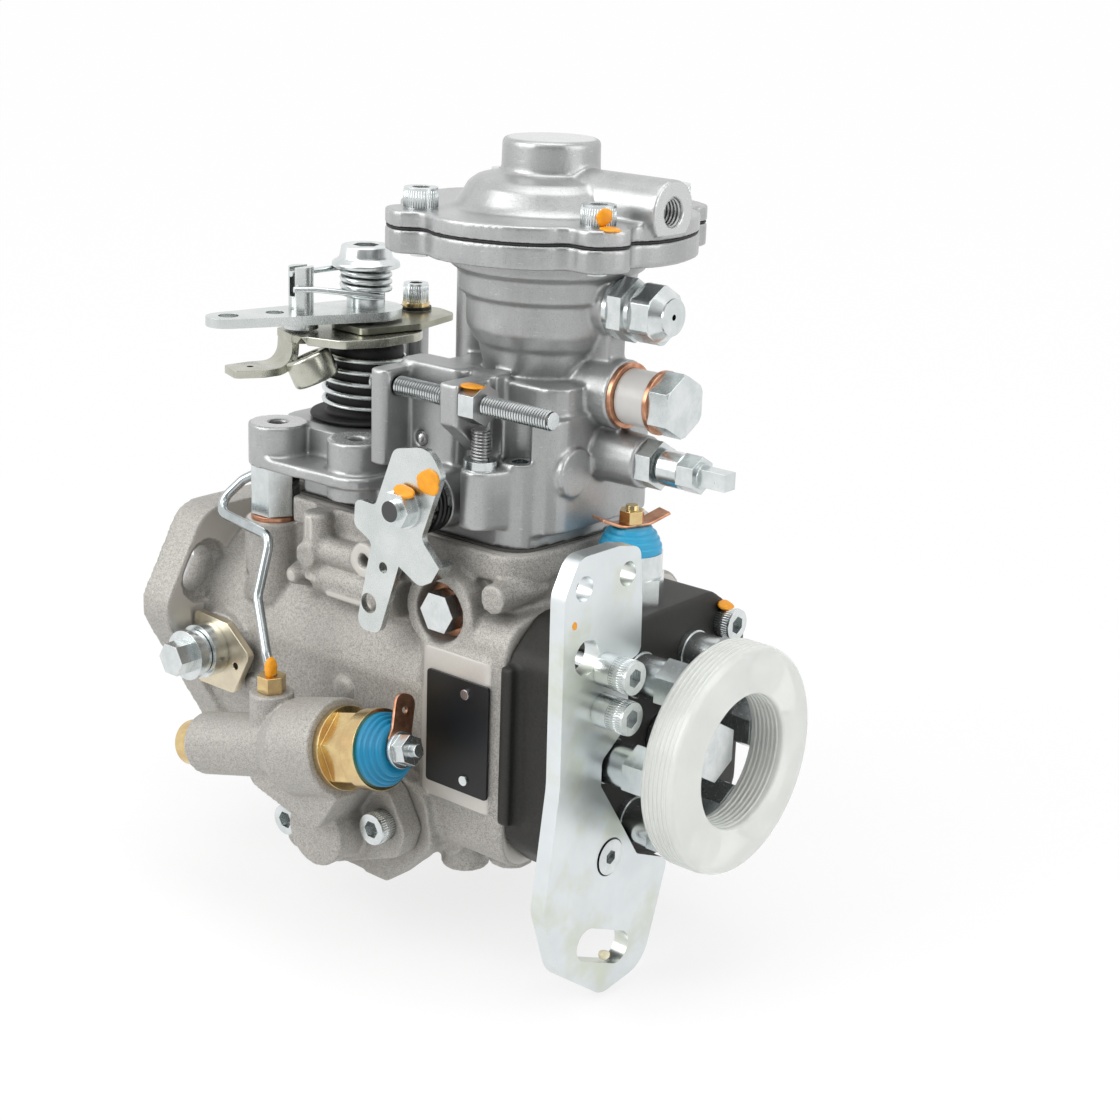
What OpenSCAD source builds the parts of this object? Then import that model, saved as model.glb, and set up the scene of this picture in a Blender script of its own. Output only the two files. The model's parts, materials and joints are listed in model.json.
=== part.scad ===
// Six-outlet distributor-type diesel injection pump with mechanical governor and boost compensator.
// X runs along the drive shaft towards the outlets, -Y is the side with the levers, Z is up.
// The origin is on the shaft axis, in the face of the mounting flange.

/* [Mounting flange] */
// Radius of the pilot spigot that centres the pump
pilot_r = 34; // [33:0.5:36]
// Thickness of the mounting flange
flange_t = 13; // [11:0.5:15]
// Radius of the circle of the three mounting slots
slot_circle_r = 50; // [49:0.5:52]
// Radius over the ends of the flange lobes
lobe_r = 60; // [59:0.5:63]

/* [Housing and head] */
// Distance from the flange face to the joint with the distributor head
head_x = 147; // [146:0.5:149]
// Length of the distributor head
head_len = 25.8; // [24:0.2:28]
// Radius of the main bore
bore_r = 27; // [27:0.5:28]
// Half the width of the housing at the name plate
half_w = 44; // [43:0.5:46]
// Height of the joint between housing and governor cover
joint_z = 57; // [56:0.5:58]
// Thickness of the bracket plate on the head
plate_t = 5.2; // [4:0.2:6]

/* [Drive] */
// Radius of the shaft journals
shaft_r = 10; // [9:0.5:11]
// Tooth module of the governor drive
gear_m = 1.25; // [1.2:0.05:1.25]
// Teeth of the drive gear
drive_teeth = 40; // [38:1:40]
// Teeth of the governor gear
governor_teeth = 24; // [22:1:24]
// Number of outlets, cam lobes and rollers
outlets = 6; // [4:1:6]

/* [Timing device] */
// Position of the timing piston along the shaft
timer_x = 89; // [88:0.5:90]
// Height of the timing piston
timer_z = -38; // [-39:0.5:-38]
// Radius of the timing piston
timer_r = 8.95; // [8.5:0.05:8.95]

/* [Boost compensator] */
// Position of the compensator axis along the shaft
boost_x = 122; // [121:0.5:123]
// Height of the diaphragm
boost_z = 150; // [149:0.5:151]
// Radius of the circle of the lid screws
boost_screw_r = 40; // [39:0.5:41]

/* [Throttle] */
// Position of the throttle shaft along the drive shaft
throttle_x = 50; // [49:0.5:51]
// Sideways position of the throttle shaft
throttle_y = -5; // [-6:0.5:-4]
// Height of the top of the throttle lever
lever_z = 115; // [114:0.5:116]
// Direction in which the throttle lever points
lever_angle = 249.5; // [240:0.5:255]

/* [Hidden] */
$fn = 48;

cast_grey = "#b8b2a8";
die_grey = "#b4b6b8";
zinc = "#c9d0d2";
yellow_zinc = "#c8b878";
head_black = "#403c38";
copper = "#c07850";
steel = "#a8a8a8";

// Head and plate
head_end = head_x + head_len;
plate_face = head_end + plate_t;
head_screw_at = 29.4;
plate_screws = [[-36, 32.4], [-36.6, 20.1]];
plate_spacer = 5.3;
valve_circle_r = 27;
valve_turn = 0;

// Governor train
centre_distance = gear_m * (drive_teeth + governor_teeth) / 2;
gear_x = 52;
gear_w = 8;
sleeve_x = 67;
lever_pivot = [118, 22];

// Levers and fittings
shutoff_x = 112;
shutoff_z = 69.5;
shutoff_plate_y = -48;
speed_screw_y = -36;
speed_screw_z = 101.4;
idle_screw_at = [127.8, -35];
stop_pillar_at = [50, 18.4];
plug_at = [119, 36.4];
plug_face_y = -44;
lock_at = [22, 1.5];
valve_seat_at = [37, -33, 47];
coldstart_tilt = 15;
coldstart_at = [timer_x, -65, -9.5];
pipe_r = 1.6;
stop_x = 158;
stop_base_z = 40.5;
boss_a = [40.4, -34.8];
boss_b = [73, -31.5];
cover_screws = [[134.8, -25.2, 84], [134.8, 25.2, 84], [31, 25, 70], [84, 26.5, 70]];

// General shapes

module x_cyl(x0, x1, r, y = 0, z = 0, r2 = -1)
    translate([x0, y, z]) rotate([0, 90, 0]) cylinder(h = x1 - x0, r1 = r, r2 = r2 < 0 ? r : r2);

module y_cyl(y0, y1, r, x = 0, z = 0, r2 = -1)
    translate([x, y0, z]) rotate([-90, 0, 0]) cylinder(h = y1 - y0, r1 = r, r2 = r2 < 0 ? r : r2);

module z_cyl(z0, z1, r, x = 0, y = 0, r2 = -1)
    translate([x, y, z0]) cylinder(h = z1 - z0, r1 = r, r2 = r2 < 0 ? r : r2);

// Extrusions whose flat outline is given in (y, z), (x, z) or (x, y)
module x_slab(x0, x1) translate([x0, 0, 0]) rotate([90, 0, 90]) linear_extrude(x1 - x0) children();

module y_slab(y0, y1) translate([0, y1, 0]) rotate([90, 0, 0]) linear_extrude(y1 - y0) children();

module z_slab(z0, z1) translate([0, 0, z0]) linear_extrude(z1 - z0) children();

module block(low, high) translate(low) cube(high - low);

module hexagon(across_flats) circle(d = across_flats / cos(30), $fn = 6);

module x_hex(x0, x1, across_flats, y = 0, z = 0)
    translate([x0, y, z]) rotate([0, 90, 0]) linear_extrude(x1 - x0) hexagon(across_flats);

module y_hex(y0, y1, across_flats, x = 0, z = 0)
    translate([x, y1, z]) rotate([90, 0, 0]) linear_extrude(y1 - y0) hexagon(across_flats);

module z_hex(z0, z1, across_flats, x = 0, y = 0)
    translate([x, y, z0]) linear_extrude(z1 - z0) hexagon(across_flats);

function unit(v) = v / norm(v);

function corner_arc(a, b, c, steps) =
    let (
        u = unit([a.x - b.x, a.y - b.y]),
        w = unit([c.x - b.x, c.y - b.y]),
        half = acos(u * w) / 2,
        centre = [b.x, b.y] + unit(u + w) * b.z / sin(half),
        from = [b.x, b.y] + u * b.z / tan(half) - centre,
        to = [b.x, b.y] + w * b.z / tan(half) - centre,
        start = atan2(from.y, from.x),
        sweep = (atan2(to.y, to.x) - start + 540) % 360 - 180
    )
    b.z == 0 ? [[b.x, b.y]] :
    [for (i = [0 : steps]) centre + b.z * [cos(start + sweep * i / steps), sin(start + sweep * i / steps)]];

// Outline through corners [x, y, radius], each corner rounded by its radius
function rounded(p, steps = 4) =
    [for (i = [0 : len(p) - 1])
        each corner_arc(p[(i + len(p) - 1) % len(p)], p[i], p[(i + 1) % len(p)], steps)];

// Round flange with a lobe for each of its four screws
function lobed_flange(gap) =
    [for (i = [0 : 3], p = [[50.5, -7.5, 6], [50.5, 7.5, 6], [42.6, 12.5, 4], [44.8, 22, 12], [46, 34, 30],
            [46, 56, 30], [44.8, 68, 12], [42.6, 77.5, 4]])
        let (a = 60 + 90 * i + p.y, r = p.x - gap) [r * cos(a), r * sin(a), p.z]];

function box_corners(low, high, r) =
    [[low.x, low.y, r], [high.x, low.y, r], [high.x, high.y, r], [low.x, high.y, r]];

module rounded_box(low, high, r)
    z_slab(low.z, high.z) polygon(rounded(box_corners([low.x, low.y], [high.x, high.y], r)));

function arc(r, from, to, steps = 12) =
    [for (i = [0 : steps]) let (a = from + (to - from) * i / steps) r * [cos(a), sin(a)]];

function ring_sector(r0, r1, from, to, steps = 8) =
    concat(arc(r0, from, to, steps), arc(r1, to, from, steps));

// A slot along a circle, with round ends
module circle_slot(circle_r, width, from, to) {
    polygon(ring_sector(circle_r - width / 2, circle_r + width / 2, from, to, 6));
    for (a = [from, to]) rotate(a) translate([circle_r, 0]) circle(d = width - 0.06);
}

module socket_screw_z(x, y, z_seat, length = 18, head_h = 6, head_d = 10)
    difference() {
        union() {
            z_cyl(z_seat, z_seat + head_h, head_d / 2, x, y);
            z_cyl(z_seat - length, z_seat, 3, x, y);
        }
        z_hex(z_seat + head_h / 2, z_seat + head_h + 1, 5, x, y);
    }

module coil(r, wire_r, turns, height, per_turn = 16) {
    // A round wire wound into a helix, as one swept skin
    n = turns * per_turn;
    sides = 6;
    slope = atan2(height, turns * 360 * r * PI / 180);
    points = [for (i = [0 : n], k = [0 : sides - 1])
        let (a = 360 * i / per_turn, q = 360 * k / sides, out = r + wire_r * cos(q), up = wire_r * sin(q))
        [out * cos(a) + up * sin(slope) * sin(a), out * sin(a) - up * sin(slope) * cos(a),
            height * i / n + up * cos(slope)]];
    walls = [for (i = [0 : n - 1], k = [0 : sides - 1])
        [i * sides + k, i * sides + (k + 1) % sides, (i + 1) * sides + (k + 1) % sides, (i + 1) * sides + k]];
    caps = [[for (k = [sides - 1 : -1 : 0]) k], [for (k = [0 : sides - 1]) n * sides + k]];
    polyhedron(points, concat(walls, caps));
}

// Housing

function lobe(angle, half = 19) =
    let (out = [cos(angle), sin(angle)], side = [-sin(angle), cos(angle)])
    [for (s = [-1, 1]) let (p = out * lobe_r + side * half * s) [p.x, p.y, 12]];

module flange_outline() polygon(rounded(concat(lobe(30), lobe(150), lobe(270)), 5));

module boss_ribs() {
    // Bosses that stand on the near wall and below the barrel
    y_cyl(-half_w + 1.5, -20, 13.5, plug_at.x, plug_at.y);
    y_cyl(-46, -20, 12, lock_at.x + 2, lock_at.y);
    z_cyl(20, valve_seat_at.z, 10, valve_seat_at.x, valve_seat_at.y);
    z_cyl(34, 56, 4.8, 64, -39.6);
    y_cyl(-45.2, -30, 4.3, 63.3, 42.2);
    x_cyl(64, 89, 4.6, -38.6, 43.6);
    y_cyl(-44.2, -30, 6, 88.5, 46);
    x_cyl(64, 100, 6, -37.6, 34.5);
    x_cyl(71, 92, 1.3, -42.8, 31.2);
    y_cyl(-44, -32, 2.6, 55.6, 33.4, 6.5);
    y_cyl(-45, -38, 3.6, 80, 1);
    y_cyl(-45.6, -30, 3.4, 37.5, -8.8);
    z_cyl(-51.4, -20, 7.7, 119.4, -28.5);
    y_cyl(-37.6, -28, 4.6, 120.6, -40.8);
    z_cyl(-47, -20, 7, 134.5, -24);
    z_cyl(-54, -20, 8, 127, 28);
    y_cyl(-41.5, -20, 4.6, 139, 45);
}

// Plan of the joint with the cover, with the corner beside the pressure valve left out
function rim_outline(half, x0, x1, x_cut) = [[x0, -half + 14, 6], [x_cut - 2, -half + 12, 3],
    [x_cut, -half, 2], [x1, -half, 10], [x1 + 2, 0, 60], [x1, half, 10], [x0, half, 10]];

module pump_housing() color(cast_grey)
    difference() {
        union() {
            difference() {
                x_slab(0, flange_t) flange_outline();
                for (a = [30, 150, 270]) x_slab(flange_t - 3, flange_t + 1)
                    circle_slot(slot_circle_r, 16, a - 3, a + 3);
            }
            x_cyl(-8, 1, pilot_r);
            x_cyl(flange_t - 4, head_x, 41);
            intersection() {
                x_cyl(flange_t - 3.5, head_x - 20, 44.6);
                block([0, -43.5, -43], [head_x, 43.5, 60]);
            }
            z_slab(0, 49) polygon(rounded(rim_outline(33, 21, 141.5, 47.6), 4));
            z_slab(48, joint_z) polygon(rounded(rim_outline(36, 18, 143, 47.6), 4));
            x_slab(112, head_x) polygon(rounded(box_corners([-43, -42], [43, 39], 11), 5));
            rounded_box([112, -half_w - 0.2, -23], [144, 0, 26], 4);
            y_cyl(-46, 46, 17, timer_x, timer_z);
            y_slab(-46, -34) polygon(rounded([[61, -50, 6], [78, -57, 8], [101, -58.6, 2],
                [121, -40, 5], [118, -24, 7], [96, -16, 9], [61, -30, 7]], 4));
            y_slab(34, 46) polygon(rounded(box_corners([61, -56], [117, -22], 8), 4));
            block([64, -30, -44], [114, 30, 0]);
            boss_ribs();
        }
        // Bores and chambers
        x_cyl(-9, 30, shaft_r + 3);
        x_cyl(-9, -1, 16);
        x_cyl(30, head_x + 1, bore_r);
        rounded_box([50, -22, 16], [134, 22, joint_z + 1], 4);
        x_cyl(34, 51, 4.05, 0, centre_distance);
        y_cyl(-26, 26, 2.5, lever_pivot.x, lever_pivot.y);
        y_cyl(-47, 47, timer_r + 0.05, timer_x, timer_z);
        block([timer_x - 6, -9, timer_z], [timer_x + 6, 9, 0]);
        // Mounting slots
        x_slab(-1, flange_t + 1)
            for (a = [30, 150, 270]) circle_slot(slot_circle_r, 9, a - 4, a + 4);
        // Plug counterbore and tapped holes
        z_cyl(stop_base_z - 0.1, 50, 12, stop_x, 0);
        y_cyl(plug_face_y, -35, 9.4, plug_at.x, plug_at.y);
        y_cyl(-36, -20, 6, plug_at.x, plug_at.y);
        z_cyl(valve_seat_at.z - 12, valve_seat_at.z + 1, 6, valve_seat_at.x, valve_seat_at.y);
        y_cyl(-47, -12, 4, lock_at.x, lock_at.y);
        y_cyl(-46, -28, 1.7, 32, 28);
        y_cyl(-46, -38, 2, 88.5, 46);
        for (s = cover_screws) z_cyl(joint_z - 12, joint_z + 1, 3, s.x, s.y);
        for (p = [[108.3, -33], [69.6, -42.2]]) y_cyl(-47, -35, 3, p.x, p.y);
        for (p = [[111, -30], [67, -46]]) y_cyl(35, 47, 3, p.x, p.y);
        for (y = [-1, 1], z = [-1, 1]) if (y > 0 || z < 0)
            x_cyl(head_x - 14, head_x + 1, 3, y * head_screw_at, z * head_screw_at);
    }

module seals() {
    // Cover gasket, shaft seal and head ring
    color("#303030") difference() {
        z_slab(joint_z, joint_z + 0.8) polygon(rounded(rim_outline(33, 22, 141.5, 48), 4));
        rounded_box([50, -22, joint_z - 1], [134, 22, joint_z + 2], 4);
        for (s = cover_screws) z_cyl(joint_z - 1, joint_z + 2, 3.3, s.x, s.y);
    }
    color("#303030") difference() {
        x_cyl(-7.5, -1, 15.9);
        x_cyl(-8, 0, shaft_r + 0.1);
    }
}

module shaft_bush() color("#b08a50")
    difference() {
        x_cyl(2, 29, shaft_r + 2.9);
        x_cyl(1, 30, shaft_r + 0.04);
    }

// Governor cover

module cover_tower() {
    // Tall rear part that carries the compensator and the rear fittings
    rounded_box([90, -27, 62], [147, 27, 97], 9);
    rounded_box([93, -22, 90], [146, 22, 106], 8);
    z_cyl(100, 116, 17, boost_x, 0, 21);
    x_cyl(118, 154, 8, 0, banjo_z, 10.6);
    x_cyl(140, 163, 8.6, 0, 84, 8);
    x_cyl(128, 150, 8.8, 0, 128.6);
    block([boost_x - 2, -4, 100], [150, 4, 122]);
    x_cyl(140, 148.4, 7.4, -15, 80.5);
    z_cyl(90, 144, 7, 90, 5);
    y_cyl(-30, -20, 9, 112, 96);
}

module bowl_wall() {
    // Cup below the diaphragm, turned about its own axis
    translate([boost_x, 0, 0]) rotate_extrude() polygon([
        [0, 110.5], [13, 110.5], [18, 112.2], [22, 115.5], [24.3, 120], [24.6, 129], [27, 130.2],
        [27.2, 136.5], [29.6, 138], [30, 145], [0, 145]]);
    translate([boost_x, 0, 0]) z_slab(143, boost_z) polygon(rounded(lobed_flange(0), 3));
}

module speed_screw_lugs() {
    // Walls that carry the full-speed screw
    rounded_box([88, speed_screw_y - 6, 77], [95, -20, 106.5], 2.5);
    rounded_box([90, -31, 78], [115, -20, 108.5], 3);
    x_slab(117, 124) polygon([[-42, 107], [-42, 94.6], [-30, 84.5], [-22, 84.5], [-22, 107]]);
    block([112, -27, 96], [126, -20, 108]);
}

module cover_shell()
    difference() {
        union() {
            z_slab(joint_z + 0.8, 68) polygon(rounded(rim_outline(32, 23, 141, 48.4), 4));
            rounded_box([29, -25, 64], [96, 27, 78.4], 8);
            z_cyl(70, 78.4, 19, throttle_x, throttle_y);
            z_slab(66, 70) polygon(rounded([[30.9, -20, 3], [30.9, -44.4, 9], [52, -43.8, 3],
                [84, -42.4, 9], [86, -20, 3]], 4));
            z_cyl(66, 80, 9.5, boss_a.x, boss_a.y);
            z_cyl(61, 80, 9.5, boss_b.x, boss_b.y);
            block([boss_a.x, -30, 66], [boss_b.x, -24, 79]);
            z_slab(64, 82) polygon(rounded([[123, -20, 2], [123, -41.5, 5], [132, -41.5, 6],
                [138.5, -26, 3], [138, -15, 2]], 4));
            z_slab(joint_z + 0.8, 84) polygon(rounded([[128, -31, 5], [141, -31, 7],
                [144, 0, 30], [141, 31, 7], [128, 31, 5]], 4));
            z_cyl(joint_z + 0.8, 72, 7, 30, 26);
            z_cyl(joint_z + 0.8, 72, 7, 84, 27);
            y_cyl(-39, -20, 9, shutoff_x, shutoff_z);
            cover_tower();
            bowl_wall();
            speed_screw_lugs();
        }
        // Inner spaces
        rounded_box([36, -20, joint_z - 1], [134, 20, 73], 5);
        rounded_box([98, -18, 70], [136, 18, 92], 5);
        translate([boost_x, 0, 0]) rotate_extrude() polygon([
            [0, 117], [12, 117], [20, 120], [21.5, 132], [25, 134], [25.5, 141], [28, 144],
            [28, boost_z + 1], [0, boost_z + 1]]);
        z_cyl(88, 118, 4.06, boost_x, 0);
        z_cyl(70, 80, 4.55, throttle_x, throttle_y);
        y_cyl(-41, -15, 4.05, shutoff_x, shutoff_z);
        x_cyl(150, 160, 9.2, 0, 128.6);
        // Fitting bores and screw holes
        x_cyl(136, 151, 5, 0, 128.6);
        x_cyl(126, 155, 6, 0, banjo_z);
        x_cyl(130, 164, 4, 0, 84);
        x_cyl(87, 125, 2.6, speed_screw_y, speed_screw_z);
        z_cyl(72, 83, 2.6, idle_screw_at.x, idle_screw_at.y);
        y_cyl(-32, -29, 2.4, 100, 85);
        for (s = cover_screws) {
            z_cyl(joint_z - 1, 90, 3.3, s.x, s.y);
            z_cyl(s.z - 6.5, 97, 5.3, s.x, s.y);
            z_cyl(96.9, 103, 5.3, s.x, s.y, 1);
        }
        for (b = [boss_a, boss_b]) z_cyl(68, 81, 3, b.x, b.y);
        for (a = [60 : 90 : 330]) z_cyl(140, boost_z + 1, 3, boost_x + boost_screw_r * cos(a),
            boost_screw_r * sin(a));
    }

module governor_cover() color(die_grey) cover_shell();

// Boost compensator

lid_top = boost_z + 5.4;
port_z = 158.5;
port_r = 9.3;
port_end = 168;

module boost_lid() color(die_grey)
    difference() {
        union() {
            translate([boost_x, 0, 0]) z_slab(boost_z + 0.6, lid_top)
                polygon(rounded(lobed_flange(0), 3));
            translate([boost_x, 0, 0]) rotate_extrude() polygon([
                [0, boost_z + 3], [29, boost_z + 3], [29, lid_top], [27.5, lid_top + 1.5], [24.5, 162],
                [22, 163.8], [17, 165], [14.8, 165.6], [14.6, 174.4], [13.6, 175.4], [0, 175.4]]);
            intersection() {
                x_cyl(boost_x + 8, port_end, port_r, 0, port_z);
                block([boost_x, -20, boost_z + 2], [180, 20, 180]);
            }
        }
        translate([boost_x, 0, 0]) rotate_extrude() polygon([
            [0, boost_z - 1], [28, boost_z - 1], [27, 153], [23, 159], [14, 161.5], [11, 162], [11, 171],
            [0, 171]]);
        x_cyl(boost_x + 20, port_end + 1, 4.2, 0, port_z);
        for (a = [60 : 90 : 330]) z_cyl(boost_z - 1, lid_top + 1, 3.3,
            boost_x + boost_screw_r * cos(a), boost_screw_r * sin(a));
    }

module boost_diaphragm() color("#202020")
    difference() {
        translate([boost_x, 0, 0]) z_slab(boost_z, boost_z + 0.6) polygon(rounded(lobed_flange(0.3), 3));
        z_cyl(boost_z - 1, boost_z + 2, 20, boost_x, 0);
        for (a = [60 : 90 : 330]) z_cyl(boost_z - 1, boost_z + 2, 3.3,
            boost_x + boost_screw_r * cos(a), boost_screw_r * sin(a));
    }

module boost_pin() color(steel) translate([boost_x, 0, 0]) rotate_extrude() polygon([
    [0, 66], [2.5, 66], [4, 69], [4, 88], [3.4, 96], [4, 104], [4, 147], [19.5, 147], [19.5, 149.2],
    [19.5, 151.4], [8, 151.4], [8, 156], [0, 156]]);

module boost_spring() color(steel) translate([boost_x, 0, 118.2]) coil(12, 1.1, 5, 27.4);

// Rear fittings

module vent_fitting() color(zinc) {
    difference() {
        union() {
            x_cyl(138, 150, 4.9, 0, 128.6);
            x_cyl(150, 151.6, 9, 0, 128.6);
            x_hex(151.6, 156.6, 16.6, 0, 128.6);
            x_cyl(156.6, 158.6, 7.6, 0, 128.6);
            x_cyl(158.6, 160, 7.6, 0, 128.6, 8.8);
            intersection() {
                x_hex(160, 166.4, 16, 0, 128.6);
                x_cyl(160, 166.4, 8.8, 0, 128.6);
            }
            x_cyl(166.4, 169.4, 8, 0, 128.6, 5.5);
            x_cyl(169.4, 170, 5.5, 0, 128.6);
        }
        x_cyl(140, 171, 0.9, 0, 128.6);
        x_cyl(138, 160, 3, 0, 128.6);
    }
}

banjo_z = 103;

module banjo_bolt() color(zinc) {
    x_cyl(130, 169, 5.9, 0, banjo_z);
    intersection() {
        x_hex(168.4, 175.5, 17, 0, banjo_z);
        x_cyl(168.4, 175.5, 14, 0, banjo_z, 9.2);
    }
}

module banjo_sleeve() color("#e8e8e4", 0.7)
    difference() {
        x_cyl(155.6, 166.8, 8.4, 0, banjo_z);
        x_cyl(155, 168, 6.1, 0, banjo_z);
    }

module x_washer(x0, x1, r_out, r_in, y, z)
    difference() {
        x_cyl(x0, x1, r_out, y, z);
        x_cyl(x0 - 1, x1 + 1, r_in, y, z);
    }

module copper_washers() color(copper) {
    x_washer(154, 155.6, 10, 6, 0, banjo_z);
    x_washer(166.8, 168.4, 9.6, 6, 0, banjo_z);
    difference() {
        y_cyl(-36.6, -35, 9, plug_at.x, plug_at.y);
        y_cyl(-37, -34, 6, plug_at.x, plug_at.y);
    }
    difference() {
        z_cyl(valve_seat_at.z, valve_seat_at.z + 1.5, 8, valve_seat_at.x, valve_seat_at.y);
        z_cyl(valve_seat_at.z - 1, valve_seat_at.z + 2, 6, valve_seat_at.x, valve_seat_at.y);
    }
}

module full_load_screw() {
    x_cyl(132, 184, 3.9, 0, 84);
    x_hex(163, 168.5, 13, 0, 84);
    x_cyl(170, 177, 5.4, 0, 84);
    x_hex(177, 183, 10, 0, 84);
    translate([184, -2.6, 84 - 2.6]) cube([9, 5.2, 5.2]);
}

module speed_screw() {
    x_cyl(85, 156, 2.55, speed_screw_y, speed_screw_z);
    x_hex(124.2, 130.2, 11, speed_screw_y, speed_screw_z);
}

module idle_screw() {
    z_cyl(73, 93.6, 2.55, idle_screw_at.x, idle_screw_at.y);
    z_cyl(82, 84.6, 5, idle_screw_at.x, idle_screw_at.y);
}

module stop_plate() {
    // Fixed plate between the two levers, held on a pillar by a screw with two washers
    difference() {
        z_slab(109.1, 111.1) polygon(rounded([[40, -9, 6], [47, -17.8, 5], [62.7, -18.8, 2.5], [68.4, 2, 5],
            [64, 23, 6], [54, 26, 5], [43, 24, 5], [38.6, 8, 6]], 4));
        z_cyl(108, 112, 5.2, throttle_x, throttle_y);
    }
    z_cyl(78.4, 109.1, 4.4, stop_pillar_at.x, stop_pillar_at.y);
    z_cyl(111.1, 112.3, 5.2, stop_pillar_at.x, stop_pillar_at.y);
    z_cyl(112.3, 113.6, 4.6, stop_pillar_at.x, stop_pillar_at.y);
    difference() {
        z_cyl(113.6, 120, 4.1, stop_pillar_at.x, stop_pillar_at.y);
        z_hex(117, 121, 4, stop_pillar_at.x, stop_pillar_at.y);
    }
}

module adjusting_screws() color(zinc) {
    stop_plate();
    full_load_screw();
    speed_screw();
    idle_screw();
}

// Throttle

boot_z = 79;
boot_top = 104;

module at_throttle() translate([throttle_x, throttle_y, 0]) children();

module dust_boot() color("#181818") at_throttle()
    difference() {
        rotate_extrude() polygon([[0, boot_z], [18, boot_z], [18, boot_z + 1.5], [12.9, boot_z + 1.5],
            [12.4, boot_z + 3], [12.4, boot_top - 2], [11, boot_top], [0, boot_top]]);
        z_cyl(boot_z - 1, boot_top + 1, 5.2);
    }

module boot_spring() color(zinc) at_throttle() translate([0, 0, boot_z + 4.2]) coil(13.5, 0.8, 5.5, 18.6);

module throttle_shaft() color(steel) at_throttle() {
    z_cyl(61, 128, 4.5);
    z_cyl(61, 65, 7);
    translate([-2, -3, 61]) cube([14, 6, 4]);
    z_cyl(57.5, 61, 2, 10, 0);
}

// A lever outline: a round hub that tapers to a round tip
function lever_outline(hub_r, tip_r, length) =
    let (a = asin((hub_r - tip_r) / length))
    concat(arc(hub_r, 90 - a, 270 + a, 14),
        [for (p = arc(tip_r, -90 + a, 90 - a, 8)) [length + p.x, p.y]]);

throttle_pin_at = 22.5;
spring_pin_top = 129.2;

module throttle_lever() color(zinc) at_throttle() rotate([0, 0, lever_angle]) {
    difference() {
        z_slab(lever_z - 3, lever_z) polygon(lever_outline(12, 6.2, 48));
        z_cyl(lever_z - 4, lever_z + 1, 4.6);
        z_cyl(lever_z - 4, lever_z + 1, 2.9, 31.5, 0);
        z_cyl(lever_z - 4, lever_z + 1, 3.2, 47, 0);
        z_cyl(lever_z - 4, lever_z + 1, 2.5, throttle_pin_at, 0);
    }
    difference() {
        union() {
            z_cyl(lever_z, spring_pin_top, 4, throttle_pin_at, 0);
            z_cyl(lever_z - 5, lever_z + 1, 2.5, throttle_pin_at, 0);
        }
        translate([throttle_pin_at, 0, lever_z + 5]) rotate([0, 0, 270 - lever_angle])
            block([-6, -1.2, 0], [6, 1.2, 12]);
    }
    difference() {
        z_cyl(lever_z - 5.5, lever_z - 3, 5.5, throttle_pin_at, 0);
        z_cyl(lever_z - 6, lever_z - 2, 2.5, throttle_pin_at, 0);
    }
}

spring_leg = [[7.6, -0.1, 119.2], [6, -6, 120.2], [-5.4, -26.5, 122.6]];

module throttle_spring() color(zinc) at_throttle() {
    translate([0, 0, 119]) coil(7.6, 0.95, 3.5, 8);
    rod([-7.6, -0.1, 127], [-7.9, -25.5, 127.2], 0.9);
    for (i = [0 : 1]) rod(spring_leg[i], spring_leg[i + 1], 0.9);
    translate(spring_leg[1]) sphere(0.93);
}

module throttle_knob() color(zinc) at_throttle()
    difference() {
        rotate_extrude() polygon([[4.6, lever_z], [6.2, lever_z], [6.2, 128], [11, 128], [11, 129.4],
            [8.4, 131.2], [7.8, 134], [6.8, 134.9], [0, 134.9], [0, 128.1], [4.6, 128.1]]);
        z_hex(131, 136, 5);
    }

module idle_lever() color("#b9bba8") at_throttle() rotate([0, 0, lever_angle]) {
    // Bent lever that hangs below the fixed stop plate
    difference() {
        z_slab(lever_z - 9, lever_z - 6.2) polygon(rounded([[-13, -8, 6], [8, -13, 6], [26, -7, 1],
            [28.4, -6, 0], [28.4, 6, 0], [25, 11, 2], [17.5, 21, 4], [4, 22.6, 12], [-12, 17.5, 10],
            [-18.2, 4.8, 8]], 4));
        z_cyl(lever_z - 10, lever_z, 4.6);
    }
    difference() {
        union() {
            translate([26, -6, 97]) cube([2.4, 12, lever_z - 6.2 - 97]);
            z_slab(95.8, 98.2) polygon(rounded([[26, -6, 0], [38, -7, 2], [47, -3, 2], [47, 5, 2],
                [38, 7, 2], [26, 6, 0]], 3));
        }
        z_cyl(94, 100, 1.1, 40, 0);
    }
    translate([21, 11.2, 97]) rotate([90, 0, 0]) cylinder(h = 5, r = 7.5);
    translate([16, 5.6, 101]) cube([11.2, 5.6, lever_z - 6.2 - 101]);
    translate([21, 12, 97]) rotate([90, 0, 0]) cylinder(h = 8, r = 2.5);
}

// Shut-off lever

module shutoff_shaft() color(zinc) {
    y_cyl(-51.6, -12, 4, shutoff_x, shutoff_z);
    y_cyl(-57, -51, 3.2, shutoff_x, shutoff_z);
    y_cyl(-51.4, shutoff_plate_y - 2.2, 6.4, shutoff_x, shutoff_z);
    y_hex(-55.2, -51.2, 10, shutoff_x, shutoff_z);
    block([shutoff_x - 3, -17.8, shutoff_z - 3], [shutoff_x + 16, -13.5, shutoff_z + 3]);
}

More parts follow.
